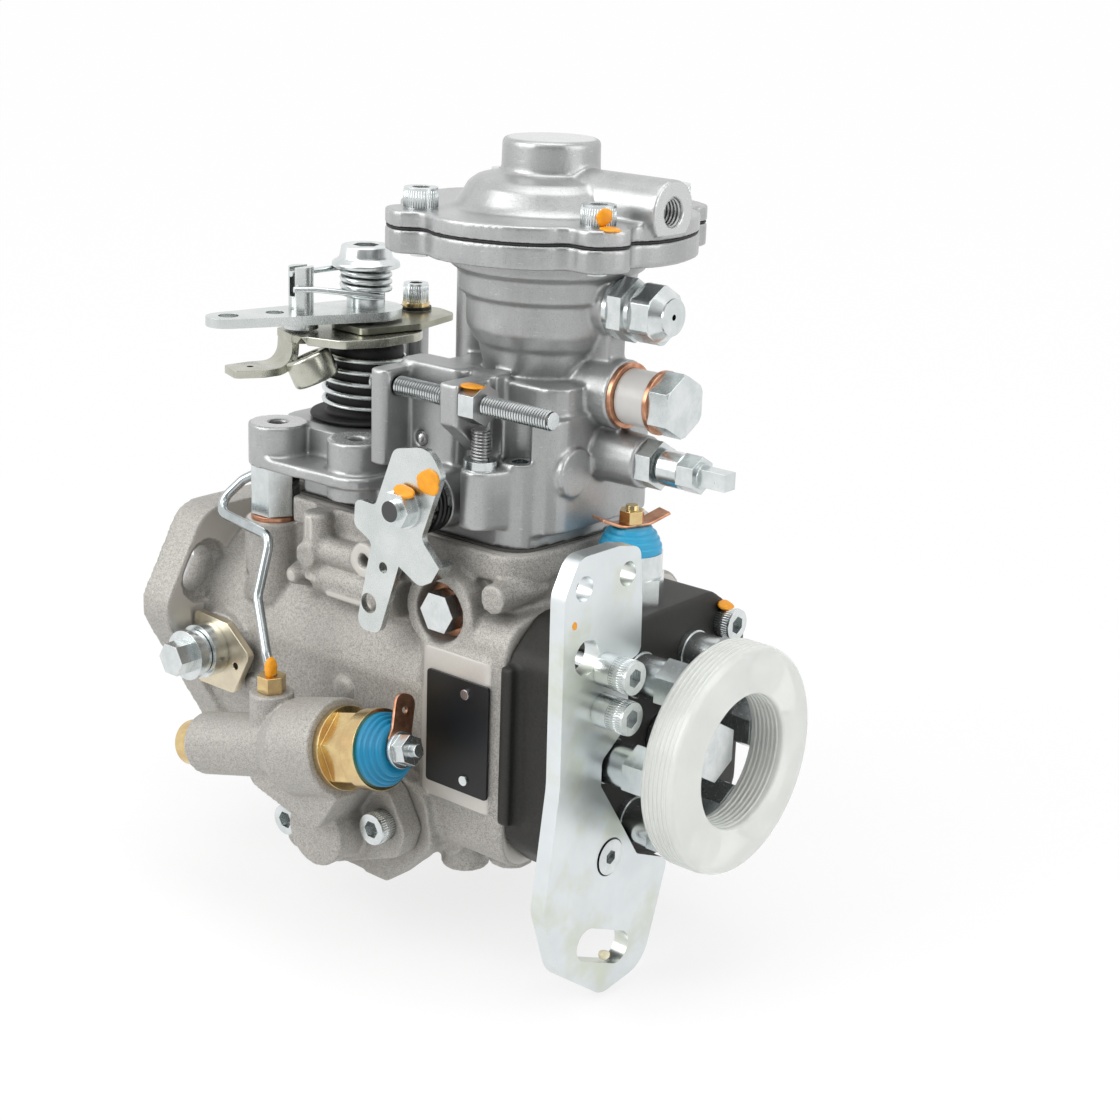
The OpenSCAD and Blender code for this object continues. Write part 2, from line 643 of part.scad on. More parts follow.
module shutoff_lever() color(zinc) {
    difference() {
        union() {
            y_slab(shutoff_plate_y - 2.2, shutoff_plate_y) polygon(rounded([
                [107, 86.5, 4], [121, 89.5, 7], [126.5, 82, 4], [118.5, 61, 3], [126, 53.6, 0],
                [122.9, 48.6, 0], [118, 46, 4], [109.5, 50.5, 0], [101.5, 27, 3.5], [91.5, 26.5, 3.5], [98, 55.5, 2],
                [90.5, 59.5, 2.5], [91, 68, 2.5], [99.5, 67.5, 2]], 4));
            y_slab(shutoff_plate_y - 2.2, shutoff_plate_y + 4.4) polygon([[123, 48.7], [126, 53.5],
                [124.1, 54.7], [121.1, 49.9]]);
        }
        y_cyl(shutoff_plate_y - 3, shutoff_plate_y + 1, 4.02, shutoff_x, shutoff_z);
        y_cyl(shutoff_plate_y - 3, shutoff_plate_y + 1, 3.2, 97, 35.8);
        y_cyl(shutoff_plate_y - 3, shutoff_plate_y + 1, 1.7, 103, 48.6);
    }
}

module shutoff_spring() color("#383838") {
    translate([shutoff_x, -40.2, shutoff_z]) rotate([90, 0, 0]) coil(8.4, 0.9, 3, 5.6);
}

// Pressure valve and pipe

pipe_points = [[34, -35.4, 62.6], [27.4, -38.4, 58.5], [20, -45, 48.5], [53.5, -50.5, 47.4], [55.5, -58, 29.5],
    [66, -64, 15], [69.4, -65, 9.2], [69.4, -65, 2]];

// A round rod between two points
module rod(from, to, r) {
    run = to - from;
    translate(from) rotate([0, acos(run.z / norm(run)), atan2(run.y, run.x)]) cylinder(h = norm(run), r = r);
}

module pressure_valve() color(zinc)
    difference() {
        union() {
            z_cyl(36, valve_seat_at.z + 1.5, 5.9, valve_seat_at.x, valve_seat_at.y);
            z_hex(valve_seat_at.z + 1.5, 65.4, 14, valve_seat_at.x, valve_seat_at.y);
        }
        rod(pipe_points[1], pipe_points[0], pipe_r + 0.06);
    }

module pressure_pipe() color(zinc) {
    for (i = [0 : len(pipe_points) - 2]) rod(pipe_points[i], pipe_points[i + 1], pipe_r);
    for (i = [1 : len(pipe_points) - 2]) translate(pipe_points[i]) sphere(pipe_r + 0.03);
}

nut_base_z = 3.6;

module pipe_nut() color(yellow_zinc)
    difference() {
        union() {
            z_hex(nut_base_z, nut_base_z + 5.4, 8, 69.4, -65);
            z_cyl(nut_base_z - 5, nut_base_z, 3, 69.4, -65);
        }
        z_cyl(nut_base_z - 6, nut_base_z + 6, pipe_r + 0.05, 69.4, -65);
    }

// Shaft lock on the near side

module lock_bolt() color(zinc) {
    y_cyl(-66, -14, 3.9, lock_at.x, lock_at.y);
    y_cyl(-54.4, -48.8, 9, lock_at.x, lock_at.y);
    y_cyl(-58, -54.6, 7.4, lock_at.x, lock_at.y);
    y_cyl(-60, -58, 8.4, lock_at.x, lock_at.y);
    y_hex(-66, -60, 10, lock_at.x, lock_at.y);
}

module lock_plate() color(yellow_zinc)
    difference() {
        y_slab(-48.8, -46.2) polygon(rounded([[14, 13, 2], [30, 12, 2], [41, 3, 2], [33, -12, 2],
            [15, -12, 2], [13.4, 2, 2]], 2));
        y_cyl(-50, -45, 4, lock_at.x, lock_at.y);
        y_cyl(-50, -45, 1.2, 34, -2);
    }

// Timing device covers and cold-start valve

module along_coldstart(s) translate(coldstart_at) rotate([0, -coldstart_tilt, 0])
    rotate([0, 90, 0]) translate([0, 0, s]) children();

module timer_cover() color(cast_grey)
    difference() {
        union() {
            y_slab(-54, -46) polygon(rounded([[61, -47, 6], [66, -54, 5], [80, -56, 5], [114, -43, 6],
                [117, -34, 5], [110, -22, 7], [96, -17, 6], [63, -32, 6]], 4));
            y_cyl(-65.8, -50, 11.3, timer_x, timer_z);
            intersection() {
                along_coldstart(-52) cylinder(h = 40, r = 10.2);
                block([30, -90, -60], [timer_x + 20, -40, 30]);
            }
            along_coldstart(-54.5) cylinder(h = 3, r = 8.2);
            along_coldstart(-16) cylinder(h = 10, r1 = 10.2, r2 = 15.5);
            along_coldstart(-6) cylinder(h = 19, r = 15.4);
            z_cyl(-12, nut_base_z, 7, 69.4, -65);
            y_slab(-72, -50) polygon(rounded([[66, -26, 4], [96, -34, 5], [108, -16, 4], [98, -2, 4],
                [66, -12, 4]], 3));
        }
        y_cyl(-50, -45, timer_r - 1, timer_x, timer_z);
        along_coldstart(-10) cylinder(h = 24, r = 9);
        along_coldstart(13) cylinder(h = 40, r = 15.8);
        along_coldstart(-56) cylinder(h = 20, r = 4);
        z_cyl(-8, nut_base_z + 1, 3.05, 69.4, -65);
        for (p = [[108.3, -33], [69.6, -42.2]]) {
            y_cyl(-55, -45, 3.3, p.x, p.y);
            y_cyl(-80, -54, 5.6, p.x, p.y);
        }
    }

module timer_end_cap() color(cast_grey)
    difference() {
        union() {
            y_slab(46, 53) polygon(rounded(box_corners([61, -56], [117, -22], 8), 4));
            y_cyl(50, 58, 11, timer_x, timer_z);
        }
        y_cyl(45, 49, timer_r - 1, timer_x, timer_z);
        for (p = [[111, -30], [67, -46]]) y_cyl(45, 54, 3.3, p.x, p.y);
    }

module coldstart_valve() color("#c9a85a") {
    along_coldstart(-6) cylinder(h = 19.5, r = 8.9);
    along_coldstart(13) cylinder(h = 2.5, r = 13);
    along_coldstart(15.5) rotate([0, 0, 10]) linear_extrude(9) hexagon(20.8);
    along_coldstart(24.5) cylinder(h = 5.5, r = 12.4);
    along_coldstart(-50) cylinder(h = 5, r = 3.9);
    along_coldstart(-60) cylinder(h = 5.5, r = 7.4);
    along_coldstart(-62) linear_extrude(2.2) hexagon(8);
}

module insulators() color("#3b9ad0") {
    difference() {
        union() {
            along_coldstart(30) cylinder(h = 2.6, r = 11.2);
            along_coldstart(32.6) cylinder(h = 2.2, r = 9.6);
            along_coldstart(34.8) cylinder(h = 1.6, r = 7.4);
        }
        along_coldstart(35) cylinder(h = 3, r = 2);
    }
    difference() {
        union() {
            z_cyl(stop_base_z + 15.5, stop_base_z + 21, 9.6, stop_x, 0);
            z_cyl(stop_base_z + 21, stop_base_z + 23, 7, stop_x, 0);
        }
        z_cyl(stop_base_z + 22, stop_base_z + 24, 2, stop_x, 0);
    }
}

module terminal_tabs() {
    color(zinc) {
        along_coldstart(37.44) cylinder(h = 1.2, r = 5.6);
        along_coldstart(38.6) linear_extrude(4.2) hexagon(8.4);
        along_coldstart(36) cylinder(h = 9.4, r = 1.95);
    }
    color(copper) along_coldstart(36.4) rotate([0, 0, -24]) linear_extrude(1) difference() {
        polygon(rounded([[-17, -4, 3], [-6, -4, 1], [-3, -5, 2], [4.6, -5, 4], [4.6, 5, 4], [-3, 5, 2],
            [-6, 4, 1], [-17, 4, 3]], 3));
        translate([-12, 0]) circle(r = 1);
        circle(r = 2);
    }
    color(copper) translate([stop_x, 0, stop_base_z + 23]) rotate([0, 0, 70])
        translate([-12, -3.2, 0]) cube([24, 6.4, 1]);
    color(yellow_zinc) z_hex(stop_base_z + 24, stop_base_z + 28, 7, stop_x, 0);
    color(yellow_zinc) z_cyl(stop_base_z + 22, stop_base_z + 29.5, 1.95, stop_x, 0);
}

module sealing_plugs() color(zinc) {
    y_hex(-43.6, -36.6, 11.5, plug_at.x, plug_at.y);
    y_cyl(-36.6, -24, 5.9, plug_at.x, plug_at.y);
    x_hex(plate_face + 8, plate_face + 16, 17);
    x_cyl(head_end - 12, plate_face + 8, 6.95);
}

module name_plate() color("#151515") {
    y_slab(-half_w - 1.1, -half_w - 0.2) polygon(rounded(box_corners([117, -17.8], [142, 18.8], 1), 2));
    for (p = [[133, 14.5], [133, -13.5]]) y_cyl(-half_w - 1.9, -half_w - 1.1, 1.6, p.x, p.y);
}

// Distributor head

module distributor_head() color(head_black)
    difference() {
        union() {
            x_slab(head_x, head_end) polygon(rounded([[-42.5, -30, 8], [-30, -41, 8], [30, -41, 8],
                [42.5, -30, 8], [42.5, 28, 7], [24, 40.5, 6], [-30, 40.5, 8], [-42.5, 30, 8]], 4));
            x_cyl(head_x - 16, head_x + 1, bore_r - 0.1);
            z_cyl(30, stop_base_z, 10.9, stop_x, 0);
        }
        x_cyl(head_x - 17, head_end - 12, 6);
        x_cyl(head_end - 13, head_end + 1, 7);
        x_cyl(head_x - 17, head_x - 13, 18);
        z_cyl(14, stop_base_z + 1, 6, stop_x, 0);
        for (y = [-1, 1], z = [-1, 1]) if (y > 0 || z < 0)
            x_cyl(head_x - 1, head_end + 1, 3.3, y * head_screw_at, z * head_screw_at);
        for (i = [0 : outlets - 1]) x_cyl(head_end - 14, head_end + 1, 5,
            valve_circle_r * cos(valve_turn + 60 * i), valve_circle_r * sin(valve_turn + 60 * i));
        for (p = plate_screws) x_cyl(head_end - 10, head_end + 1, 3.02, p.x, p.y);
    }

plate_outline = [[-55, 58, 8], [-49, 68.5, 6], [-31, 68.3, 6], [-21.2, 66, 4], [-19.4, 49, 2],
    [-18.9, 33, 3], [-25, 31.5, 1], [-23.4, 11.8, 2], [-35.2, 3.4, 3], [-35.2, -4.6, 2], [-26, -18, 2],
    [-16, -33, 3], [0, -40, 3], [-4.6, -55, 5], [-10.4, -72.5, 11], [-31, -75, 9], [-52, -60, 12],
    [-59.5, -38, 10], [-54.2, 0, 30]];

module bracket_plate() color(zinc)
    difference() {
        x_slab(head_end, plate_face) polygon(rounded(plate_outline, 7));
        for (y = [-46.5, -26.8]) x_cyl(head_end - 1, plate_face + 1, 3.75, y, 59);
        x_cyl(head_end - 1, plate_face + 1, 5.4, -44.2, 37.9);
        for (p = concat(plate_screws, [[-head_screw_at, -head_screw_at]]))
            x_cyl(head_end - 1, plate_face + 1, 3.3, p.x, p.y);
        x_cyl(plate_face - 3, plate_face + 1, 3.3, -head_screw_at, -head_screw_at, 7);
        // Slot for the support strut
        translate([0, -30.9, -58.6]) rotate([-23.5, 0, 0]) x_slab(head_end - 1, plate_face + 1) {
            square([16, 10.4], center = true);
            for (y = [-8, 8]) translate([y, 0]) circle(d = 10.4);
        }
    }

module x_socket_screw(x_seat, y, z, length)
    difference() {
        union() {
            x_cyl(x_seat, x_seat + 6, 5, y, z);
            x_cyl(x_seat - length, x_seat, 3, y, z);
        }
        x_hex(x_seat + 3, x_seat + 7, 5, y, z);
    }

module y_socket_screw(y_seat, x, z, length, dir = -1)
    difference() {
        union() {
            if (dir < 0) {
                y_cyl(y_seat - 6, y_seat, 5, x, z);
                y_cyl(y_seat, y_seat + length, 3, x, z);
            } else {
                y_cyl(y_seat, y_seat + 6, 5, x, z);
                y_cyl(y_seat - length, y_seat, 3, x, z);
            }
        }
        if (dir < 0) y_hex(y_seat - 7, y_seat - 3, 5, x, z);
        else y_hex(y_seat + 3, y_seat + 7, 5, x, z);
    }

module socket_screws() color(zinc) {
    for (s = cover_screws) socket_screw_z(s.x, s.y, s.z - 6.5, s.z - 6.5 - joint_z + 10);
    for (a = [60 : 90 : 330])
        socket_screw_z(boost_x + boost_screw_r * cos(a), boost_screw_r * sin(a), lid_top, 14);
    y_socket_screw(-54, 108.3, -33, 18);
    y_socket_screw(-54, 69.6, -42.2, 18);
    y_socket_screw(53, 111, -30, 17, 1);
    y_socket_screw(53, 67, -46, 17, 1);
    for (p = plate_screws) {
        x_socket_screw(plate_face + plate_spacer, p.x, p.y, 20);
        x_washer(plate_face, plate_face + plate_spacer - 0.1, 5, 3, p.x, p.y);
    }
    x_socket_screw(head_end, head_screw_at, head_screw_at, 38);
    x_socket_screw(head_end, head_screw_at, -head_screw_at, 38);
    difference() {
        union() {
            x_cyl(plate_face - 2.4, plate_face + 0.4, 3.3, -head_screw_at, -head_screw_at, 5.6);
            x_cyl(head_x - 12, plate_face - 2.4, 3, -head_screw_at, -head_screw_at);
        }
        x_hex(plate_face - 1.6, plate_face + 1, 4, -head_screw_at, -head_screw_at);
    }
}

module delivery_valve(y, z) {
    x_cyl(head_end - 13, head_end, 4.9, y, z);
    x_cyl(head_end, head_end + 1.8, 7.2, y, z);
    x_cyl(head_end + 1.8, 184.5, 6.8, y, z);
    x_hex(184.5, cap_x, 14, y, z);
    difference() {
        x_cyl(cap_x, cap_end - 3, 6, y, z);
        x_cyl(cap_x + 2, cap_end - 2, 2.2, y, z);
    }
}

module delivery_valves() color(zinc)
    for (i = [0 : outlets - 1]) delivery_valve(valve_circle_r * cos(valve_turn + 60 * i),
        valve_circle_r * sin(valve_turn + 60 * i));

cap_x = 192;
cap_end = 204;

module port_cap() color("#f0f0ec", 0.5)
    difference() {
        x_cyl(cap_x, cap_end, 35.2);
        x_cyl(cap_x - 1, cap_end + 1, 20.8);
        for (i = [0 : outlets - 1]) x_cyl(cap_x - 1, cap_end - 2.2, 6.2,
            valve_circle_r * cos(valve_turn + 60 * i), valve_circle_r * sin(valve_turn + 60 * i));
    }

module stop_solenoid() color(zinc)
    difference() {
        union() {
            z_cyl(22, stop_base_z, 5.9, stop_x, 0);
            z_hex(stop_base_z, stop_base_z + 8, 20, stop_x, 0);
            z_cyl(stop_base_z + 8, stop_base_z + 15.5, 10, stop_x, 0);
        }
        z_cyl(21, stop_base_z + 8, 3.55, stop_x, 0);
    }

module stop_armature() color(steel) {
    z_cyl(17, 19, 4.4, stop_x, 0);
    z_cyl(19, stop_base_z + 4, 3.5, stop_x, 0);
}

// Feed pump

eccentric = 1.2;

module vane_ring() color(steel) {
    difference() {
        x_cyl(31, 45, bore_r - 0.1);
        x_cyl(30, 46, 22, 0, eccentric);
    }
    difference() {
        x_cyl(45, 48, bore_r - 0.1);
        x_cyl(44, 49, shaft_r + 1);
    }
}

module vane_rotor() color(steel) {
    difference() {
        x_cyl(31.2, 44.8, 20);
        x_cyl(30, 46, shaft_r + 0.02);
        for (a = [0 : 90 : 270]) rotate([a, 0, 0]) block([30, -1.3, 12], [46, 1.3, 24]);
    }
    for (a = [0 : 90 : 270]) rotate([a, 0, 0]) block([31.3, -1.25, 12.6], [44.7, 1.25, 20.6]);
}

// Drive shaft and gears

module drive_shaft() color(steel) {
    difference() {
        union() {
            x_cyl(-54, -38, 7);
            x_cyl(-38, -10, 9.7, 0, 0, 12.4);
            x_cyl(-10, -8, 12.4);
            x_cyl(-8, 62, shaft_r);
            x_cyl(62, 80, 12.4);
            for (s = [-1, 1]) block([80, min(s * 4.5, s * 11), -3.5], [90, max(s * 4.5, s * 11), 3.5]);
        }
        block([-34, -2, 8.4], [-16, 2, 14]);
        x_cyl(-55, -48, 2);
    }
    block([-33.6, -1.95, 8.4], [-16.4, 1.95, 13.4]);
}

// Involute gear outline, thinned a little for backlash
function involute(base, t) = base * [cos(t) + t * PI / 180 * sin(t), sin(t) - t * PI / 180 * cos(t)];

function tooth(teeth, m) =
    let (
        pitch = m * teeth / 2, base = pitch * cos(20), tip = pitch + m, root = pitch - 1.25 * m,
        start = max(base, root),
        t0 = sqrt(max(0, start * start / base / base - 1)) * 180 / PI,
        t1 = sqrt(tip * tip / base / base - 1) * 180 / PI,
        tp = sqrt(pitch * pitch / base / base - 1) * 180 / PI,
        at_pitch = atan2(involute(base, tp).y, involute(base, tp).x),
        half = 90 / teeth - 0.12 * 180 / PI / pitch / 2,
        flank = [for (i = [0 : 3]) let (p = involute(base, t0 + (t1 - t0) * i / 3))
            [norm(p), atan2(p.y, p.x) - at_pitch - half]]
    )
    concat([[root, flank[0].y]], flank, [for (i = [3 : -1 : 0]) [flank[i].x, -flank[i].y]],
        [[root, -flank[0].y]]);

module gear_outline(teeth, m, turn) polygon([for (i = [0 : teeth - 1], p = tooth(teeth, m))
    let (a = turn + 360 * i / teeth + p.y) p.x * [cos(a), sin(a)]]);

module drive_gear() color("#b8a060")
    difference() {
        x_slab(gear_x, gear_x + gear_w) gear_outline(drive_teeth, gear_m, 90);
        x_cyl(gear_x - 1, gear_x + gear_w + 1, shaft_r + 0.02);
        for (a = [0 : 60 : 300]) rotate([a, 0, 0]) x_cyl(gear_x - 1, gear_x + gear_w + 1, 3.5, 0, 16);
    }

module at_governor() translate([0, 0, centre_distance]) children();

module governor_cage() color("#b8a060") at_governor() {
    difference() {
        union() {
            x_slab(gear_x + 0.4, gear_x + gear_w - 0.4)
                gear_outline(governor_teeth, gear_m, 90 + 180 / governor_teeth);
            x_cyl(gear_x + 7, 62, 12.4);
            for (a = [45 : 90 : 315]) rotate([a, 0, 0]) block([61, -0.8, 6.4], [71, 0.8, 12]);
        }
        x_cyl(gear_x - 1, 63, 4.05);
    }
}

module governor_shaft() color(steel) {
    // Fixed shaft of the governor, and the two pins of the governor lever
    x_cyl(34, 86, 4, 0, centre_distance);
    for (y = [-26, 9]) y_cyl(y, y + 17, 2.5, lever_pivot.x, lever_pivot.y);
}

module governor_sleeve() color(steel) at_governor()
    difference() {
        union() {
            x_cyl(sleeve_x, sleeve_x + 2, 5.8);
            x_cyl(sleeve_x + 2, 89, 5.2);
            x_cyl(89, 92, 5.2, 0, 0, 2.4);
        }
        x_cyl(sleeve_x - 1, 88.5, 4.05);
    }

module flyweight(turn) color(steel) at_governor() rotate([turn, 0, 0]) {
    x_slab(63, 78) polygon(ring_sector(7.2, 12, -33, 33, 6));
    x_slab(63, 66.6) polygon([[4.6, -2.5], [8, -3.5], [8, 3.5], [4.6, 2.5]]);
}

module flyweight_1() flyweight(0);
module flyweight_2() flyweight(90);
module flyweight_3() flyweight(180);
module flyweight_4() flyweight(270);

module governor_lever() color(zinc) {
    difference() {
        union() {
            y_slab(-3, 3) polygon([[92.4, 34], [95, 34], [109, 27], [112, 25.5], [113.4, 19.5],
                [116.4, 12.5], [119.6, 12.5], [122.4, 21], [121, 26], [99, 44], [96, 60], [93.5, 60],
                [92.4, 46]]);
            y_cyl(-14, 14, 4.6, lever_pivot.x, lever_pivot.y);
            z_cyl(9, 14, 1.6, lever_pivot.x + 4, 0);
            translate([lever_pivot.x + 4, 0, 9.5]) sphere(2.4);
            block([117, -1.6, 12], [123.6, 1.6, 15]);
        }
        y_cyl(-15, 15, 2.55, lever_pivot.x, lever_pivot.y);
    }
}

module control_spool() color(steel)
    difference() {
        x_cyl(118.2, 125.8, 11);
        x_cyl(118, 127, 6.05);
        z_cyl(6.5, 12, 2.55, lever_pivot.x + 4, 0);
    }

// Roller ring, cam plate and plunger

roller_x = 96.6;
roller_r = 5;

module roller_ring() color(steel) {
    difference() {
        x_cyl(82, 97, bore_r - 0.05);
        x_cyl(81, 98, 13.4);
        for (i = [0 : outlets - 1]) rotate([360 / outlets * i, 0, 0])
            translate([roller_x, 0, 0]) z_cyl(14.8, 25.4, roller_r + 0.1);
    }
    for (i = [0 : outlets - 1]) rotate([360 / outlets * i, 0, 0])
        translate([roller_x, 0, 0]) z_cyl(15, 25.2, roller_r);
    z_cyl(timer_z, -bore_r + 3, 2.2, timer_x, 0);
    translate([timer_x, 0, timer_z]) sphere(3.5);
}

// Face cam: one lift per outlet, its peaks over the rollers
module cam_face(r0, r1, x_peak, lift, x_back) {
    steps = outlets * 8;
    function height(a) = x_peak + lift * (1 - cos(a * outlets)) / 2;
    points = [for (i = [0 : steps - 1]) let (a = 360 * i / steps)
        each [[height(a), r0 * sin(a), r0 * cos(a)], [height(a), r1 * sin(a), r1 * cos(a)],
            [x_back, r0 * sin(a), r0 * cos(a)], [x_back, r1 * sin(a), r1 * cos(a)]]];
    faces = [for (i = [0 : steps - 1]) let (a = 4 * i, b = 4 * ((i + 1) % steps))
        each [[a, b, b + 1], [a, b + 1, a + 1], [a + 2, a + 3, b + 3], [a + 2, b + 3, b + 2],
            [a, a + 2, b + 2], [a, b + 2, b], [a + 1, b + 1, b + 3], [a + 1, b + 3, a + 3]]];
    polyhedron(points, faces);
}

module cam_plate() color(steel) {
    cam_face(14.2, 24, roller_x + roller_r + 0.12, 2.6, 107.3);
    difference() {
        x_cyl(106.5, 110.5, 24.4);
        x_cyl(106, 111, 6.5);
    }
    difference() {
        x_cyl(101, 110.5, 14.7);
        x_cyl(100, 111, 6.5);
    }
    for (s = [-1, 1]) block([86, -3.5, min(s * 4.5, s * 11)], [102, 3.5, max(s * 4.5, s * 11)]);
    difference() {
        x_cyl(83.5, 89.5, 12.6);
        for (s = [-1, 1]) block([83, min(s * 4.2, s * 13), -3.7], [91, max(s * 4.2, s * 13), 3.7]);
        for (s = [-1, 1]) block([83, -3.7, min(s * 4.2, s * 13)], [91, 3.7, max(s * 4.2, s * 13)]);
    }
}

module plunger() color(steel) {
    x_cyl(102.2, 158, 5.96);
    difference() {
        x_cyl(110.6, 113, 14);
        x_cyl(110, 114, 5.5);
    }
}

// Timing piston

module timing_piston() color(steel)
    difference() {
        y_cyl(-20, 22, timer_r, timer_x, timer_z);
        z_cyl(timer_z - 5, 0, 3.6, timer_x, 0);
        y_cyl(-21, -8, 6, timer_x, timer_z);
    }

module inner_springs() color(steel) {
    for (y = [-16.5, 16.5]) translate([114, y, 0]) rotate([0, 90, 0]) coil(4, 0.9, 6, 15.2, 12);
    translate([timer_x, -49.2, timer_z]) rotate([-90, 0, 0]) coil(4.6, 0.8, 7, 36.2, 12);
    translate([64, 0, 62.5]) rotate([0, 90, 0]) coil(3.2, 0.6, 8, 27.5, 10);
}

pump_housing();
governor_cover();
seals();
boost_lid();
boost_diaphragm();
vent_fitting();
banjo_bolt();
copper_washers();
banjo_sleeve();
adjusting_screws();
dust_boot();
boot_spring();
pressure_valve();
pressure_pipe();
pipe_nut();
lock_bolt();
lock_plate();
timer_cover();
timer_end_cap();
coldstart_valve();
insulators();
terminal_tabs();
sealing_plugs();
name_plate();
distributor_head();
socket_screws();
bracket_plate();
delivery_valves();
port_cap();
stop_solenoid();
shaft_bush();
vane_ring();
governor_shaft();
inner_springs();
throttle_shaft();
throttle_lever();
throttle_spring();
throttle_knob();
idle_lever();
shutoff_shaft();
shutoff_lever();
shutoff_spring();
boost_pin();
boost_spring();
drive_shaft();
vane_rotor();
drive_gear();
cam_plate();
plunger();
governor_cage();
governor_sleeve();
flyweight_1();
flyweight_2();
flyweight_3();
flyweight_4();
governor_lever();
control_spool();
timing_piston();
roller_ring();
stop_armature();
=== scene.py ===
"""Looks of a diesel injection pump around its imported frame.

Castings are remeshed copies with soft fillets, turned and stamped parts are bevelled copies, and
springs, threads, knurls, the pipe and the cap's ridges come from Geometry Nodes trees. Sizes in the
code are millimetres and are turned into metres where a mesh is made."""

import json
import math
import random

import bmesh
import bpy
from bpy.props import FloatProperty, FloatVectorProperty, IntProperty, PointerProperty
from mathutils import Matrix, Vector


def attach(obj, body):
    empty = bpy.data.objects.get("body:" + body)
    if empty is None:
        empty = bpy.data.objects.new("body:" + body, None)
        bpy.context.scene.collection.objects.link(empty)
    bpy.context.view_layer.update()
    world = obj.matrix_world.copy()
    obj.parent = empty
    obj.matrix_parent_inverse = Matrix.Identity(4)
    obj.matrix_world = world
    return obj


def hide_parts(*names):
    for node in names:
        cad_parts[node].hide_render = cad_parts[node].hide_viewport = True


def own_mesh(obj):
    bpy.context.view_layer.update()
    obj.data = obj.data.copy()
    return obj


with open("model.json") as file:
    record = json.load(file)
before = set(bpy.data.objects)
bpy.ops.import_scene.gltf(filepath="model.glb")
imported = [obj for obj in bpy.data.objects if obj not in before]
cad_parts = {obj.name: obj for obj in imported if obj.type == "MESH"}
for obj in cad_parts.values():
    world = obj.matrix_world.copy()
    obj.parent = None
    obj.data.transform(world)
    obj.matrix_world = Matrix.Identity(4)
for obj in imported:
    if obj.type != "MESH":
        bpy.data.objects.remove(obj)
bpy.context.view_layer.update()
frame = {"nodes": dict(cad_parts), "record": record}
NODES = frame["nodes"]
MM = 0.001
BODY_OF = {name: body for body, names in frame["record"]["behaviour"]["bodies"].items() for name in names}

bl_info = {
    "name": "Diesel Injection Pump Looks",
    "version": (1, 0, 0),
    "blender": (4, 5, 0),
    "location": "View3D > Sidebar > Pump",
    "description": "Builds the visible pieces of a diesel injection pump on its packed frame",
    "category": "Object",
}


# Node graphs written as expressions


class Value:
    """A node's output that can be used in a Python expression."""

    def __init__(self, graph, socket):
        self.graph = graph
        self.socket = socket

    def _math(self, operation, a, b=None, clamp=False):
        values = {0: a} if b is None else {0: a, 1: b}
        return self.graph.node("ShaderNodeMath", {"operation": operation, "use_clamp": clamp}, values)

    def __add__(self, other):
        return self._math("ADD", self, other)

    __radd__ = __add__

    def __mul__(self, other):
        return self._math("MULTIPLY", self, other)

    __rmul__ = __mul__

    def __sub__(self, other):
        return self._math("SUBTRACT", self, other)

    def __rsub__(self, other):
        return self._math("SUBTRACT", other, self)

    def __abs__(self):
        return self._math("ABSOLUTE", self)

    def clamped(self):
        """The value held between 0 and 1."""
        return self._math("ADD", self, 0.0, clamp=True)

    def step(self, low, high):
        """0 below low, 1 above high, smooth between; reversed when low is the larger."""
        first, last = (0.0, 1.0) if low < high else (1.0, 0.0)
        values = {0: self, 1: min(low, high), 2: max(low, high), 3: first, 4: last}
        return self.graph.node("ShaderNodeMapRange", {"interpolation_type": "SMOOTHSTEP"}, values)


class Graph:
    """The node tree of a material, of the world or of Geometry Nodes."""

    def __init__(self, tree):
        self.tree = tree
        tree.nodes.clear()

    def node(self, kind, settings=None, values=None, output=0):
        """Adds a node: its settings first, then the values or links of its sockets."""
        made = self.tree.nodes.new(kind)
        for key, value in (settings or {}).items():
            setattr(made, key, value)
        for key, value in (values or {}).items():
            if isinstance(value, Value):
                self.tree.links.new(value.socket, made.inputs[key])
            else:
                made.inputs[key].default_value = value
        return Value(self, made.outputs[output] if made.outputs else None)

    def mix(self, share, first, second):
        """A colour between two colours."""
        return self.node("ShaderNodeMix", {"data_type": "RGBA"}, {0: share, 6: first, 7: second}, output=2)

    def noise(self, place, size_mm, detail=3.0, rough=0.55, stretch=None):
        """Cloudy noise whose lumps are about size_mm across."""
        if stretch:
            place = self.node("ShaderNodeMapping", None, {0: place, 3: stretch})
        values = {"Vector": place, "Scale": 1 / (size_mm * MM), "Detail": detail, "Roughness": rough}
        return self.node("ShaderNodeTexNoise", None, values)

    def bump(self, height, strength, depth_mm):
        """A bump normal from a height."""
        return self.node("ShaderNodeBump", None,
                         {"Strength": strength, "Distance": depth_mm * MM, "Height": height})

    def open_air(self, reach_mm, samples):
        """How open to the air a point is: 0 deep in a corner, 1 in the open."""
        return self.node("ShaderNodeAmbientOcclusion", {"samples": samples}, {"Distance": reach_mm * MM},
                         output=1)

    def axes(self, place):
        """The three coordinates of a place."""
        split = self.node("ShaderNodeSeparateXYZ", None, {0: place})
        return [Value(self, split.socket.node.outputs[i]) for i in range(3)]


def rgb(colour):
    """An opaque colour."""
    return (*colour[:3], 1.0)


def shade(colour, factor):
    """A colour made darker or lighter."""
    return rgb([channel * factor for channel in colour[:3]])


def new_material(name):
    """An empty material's graph and the place that its patterns are laid out on."""
    material = bpy.data.materials.new(name)
    material.use_nodes = True
    graph = Graph(material.node_tree)
    return material, graph, graph.node("ShaderNodeTexCoord", output=3)


def skin(graph, **sockets):
    """The surface of a material, from the sockets of a Principled shader."""
    values = {key.replace("_", " "): value for key, value in sockets.items()}
    surface = graph.node("ShaderNodeBsdfPrincipled", None, values)
    graph.node("ShaderNodeOutputMaterial", None, {0: surface})


MILLED_DEPTH = 0.2


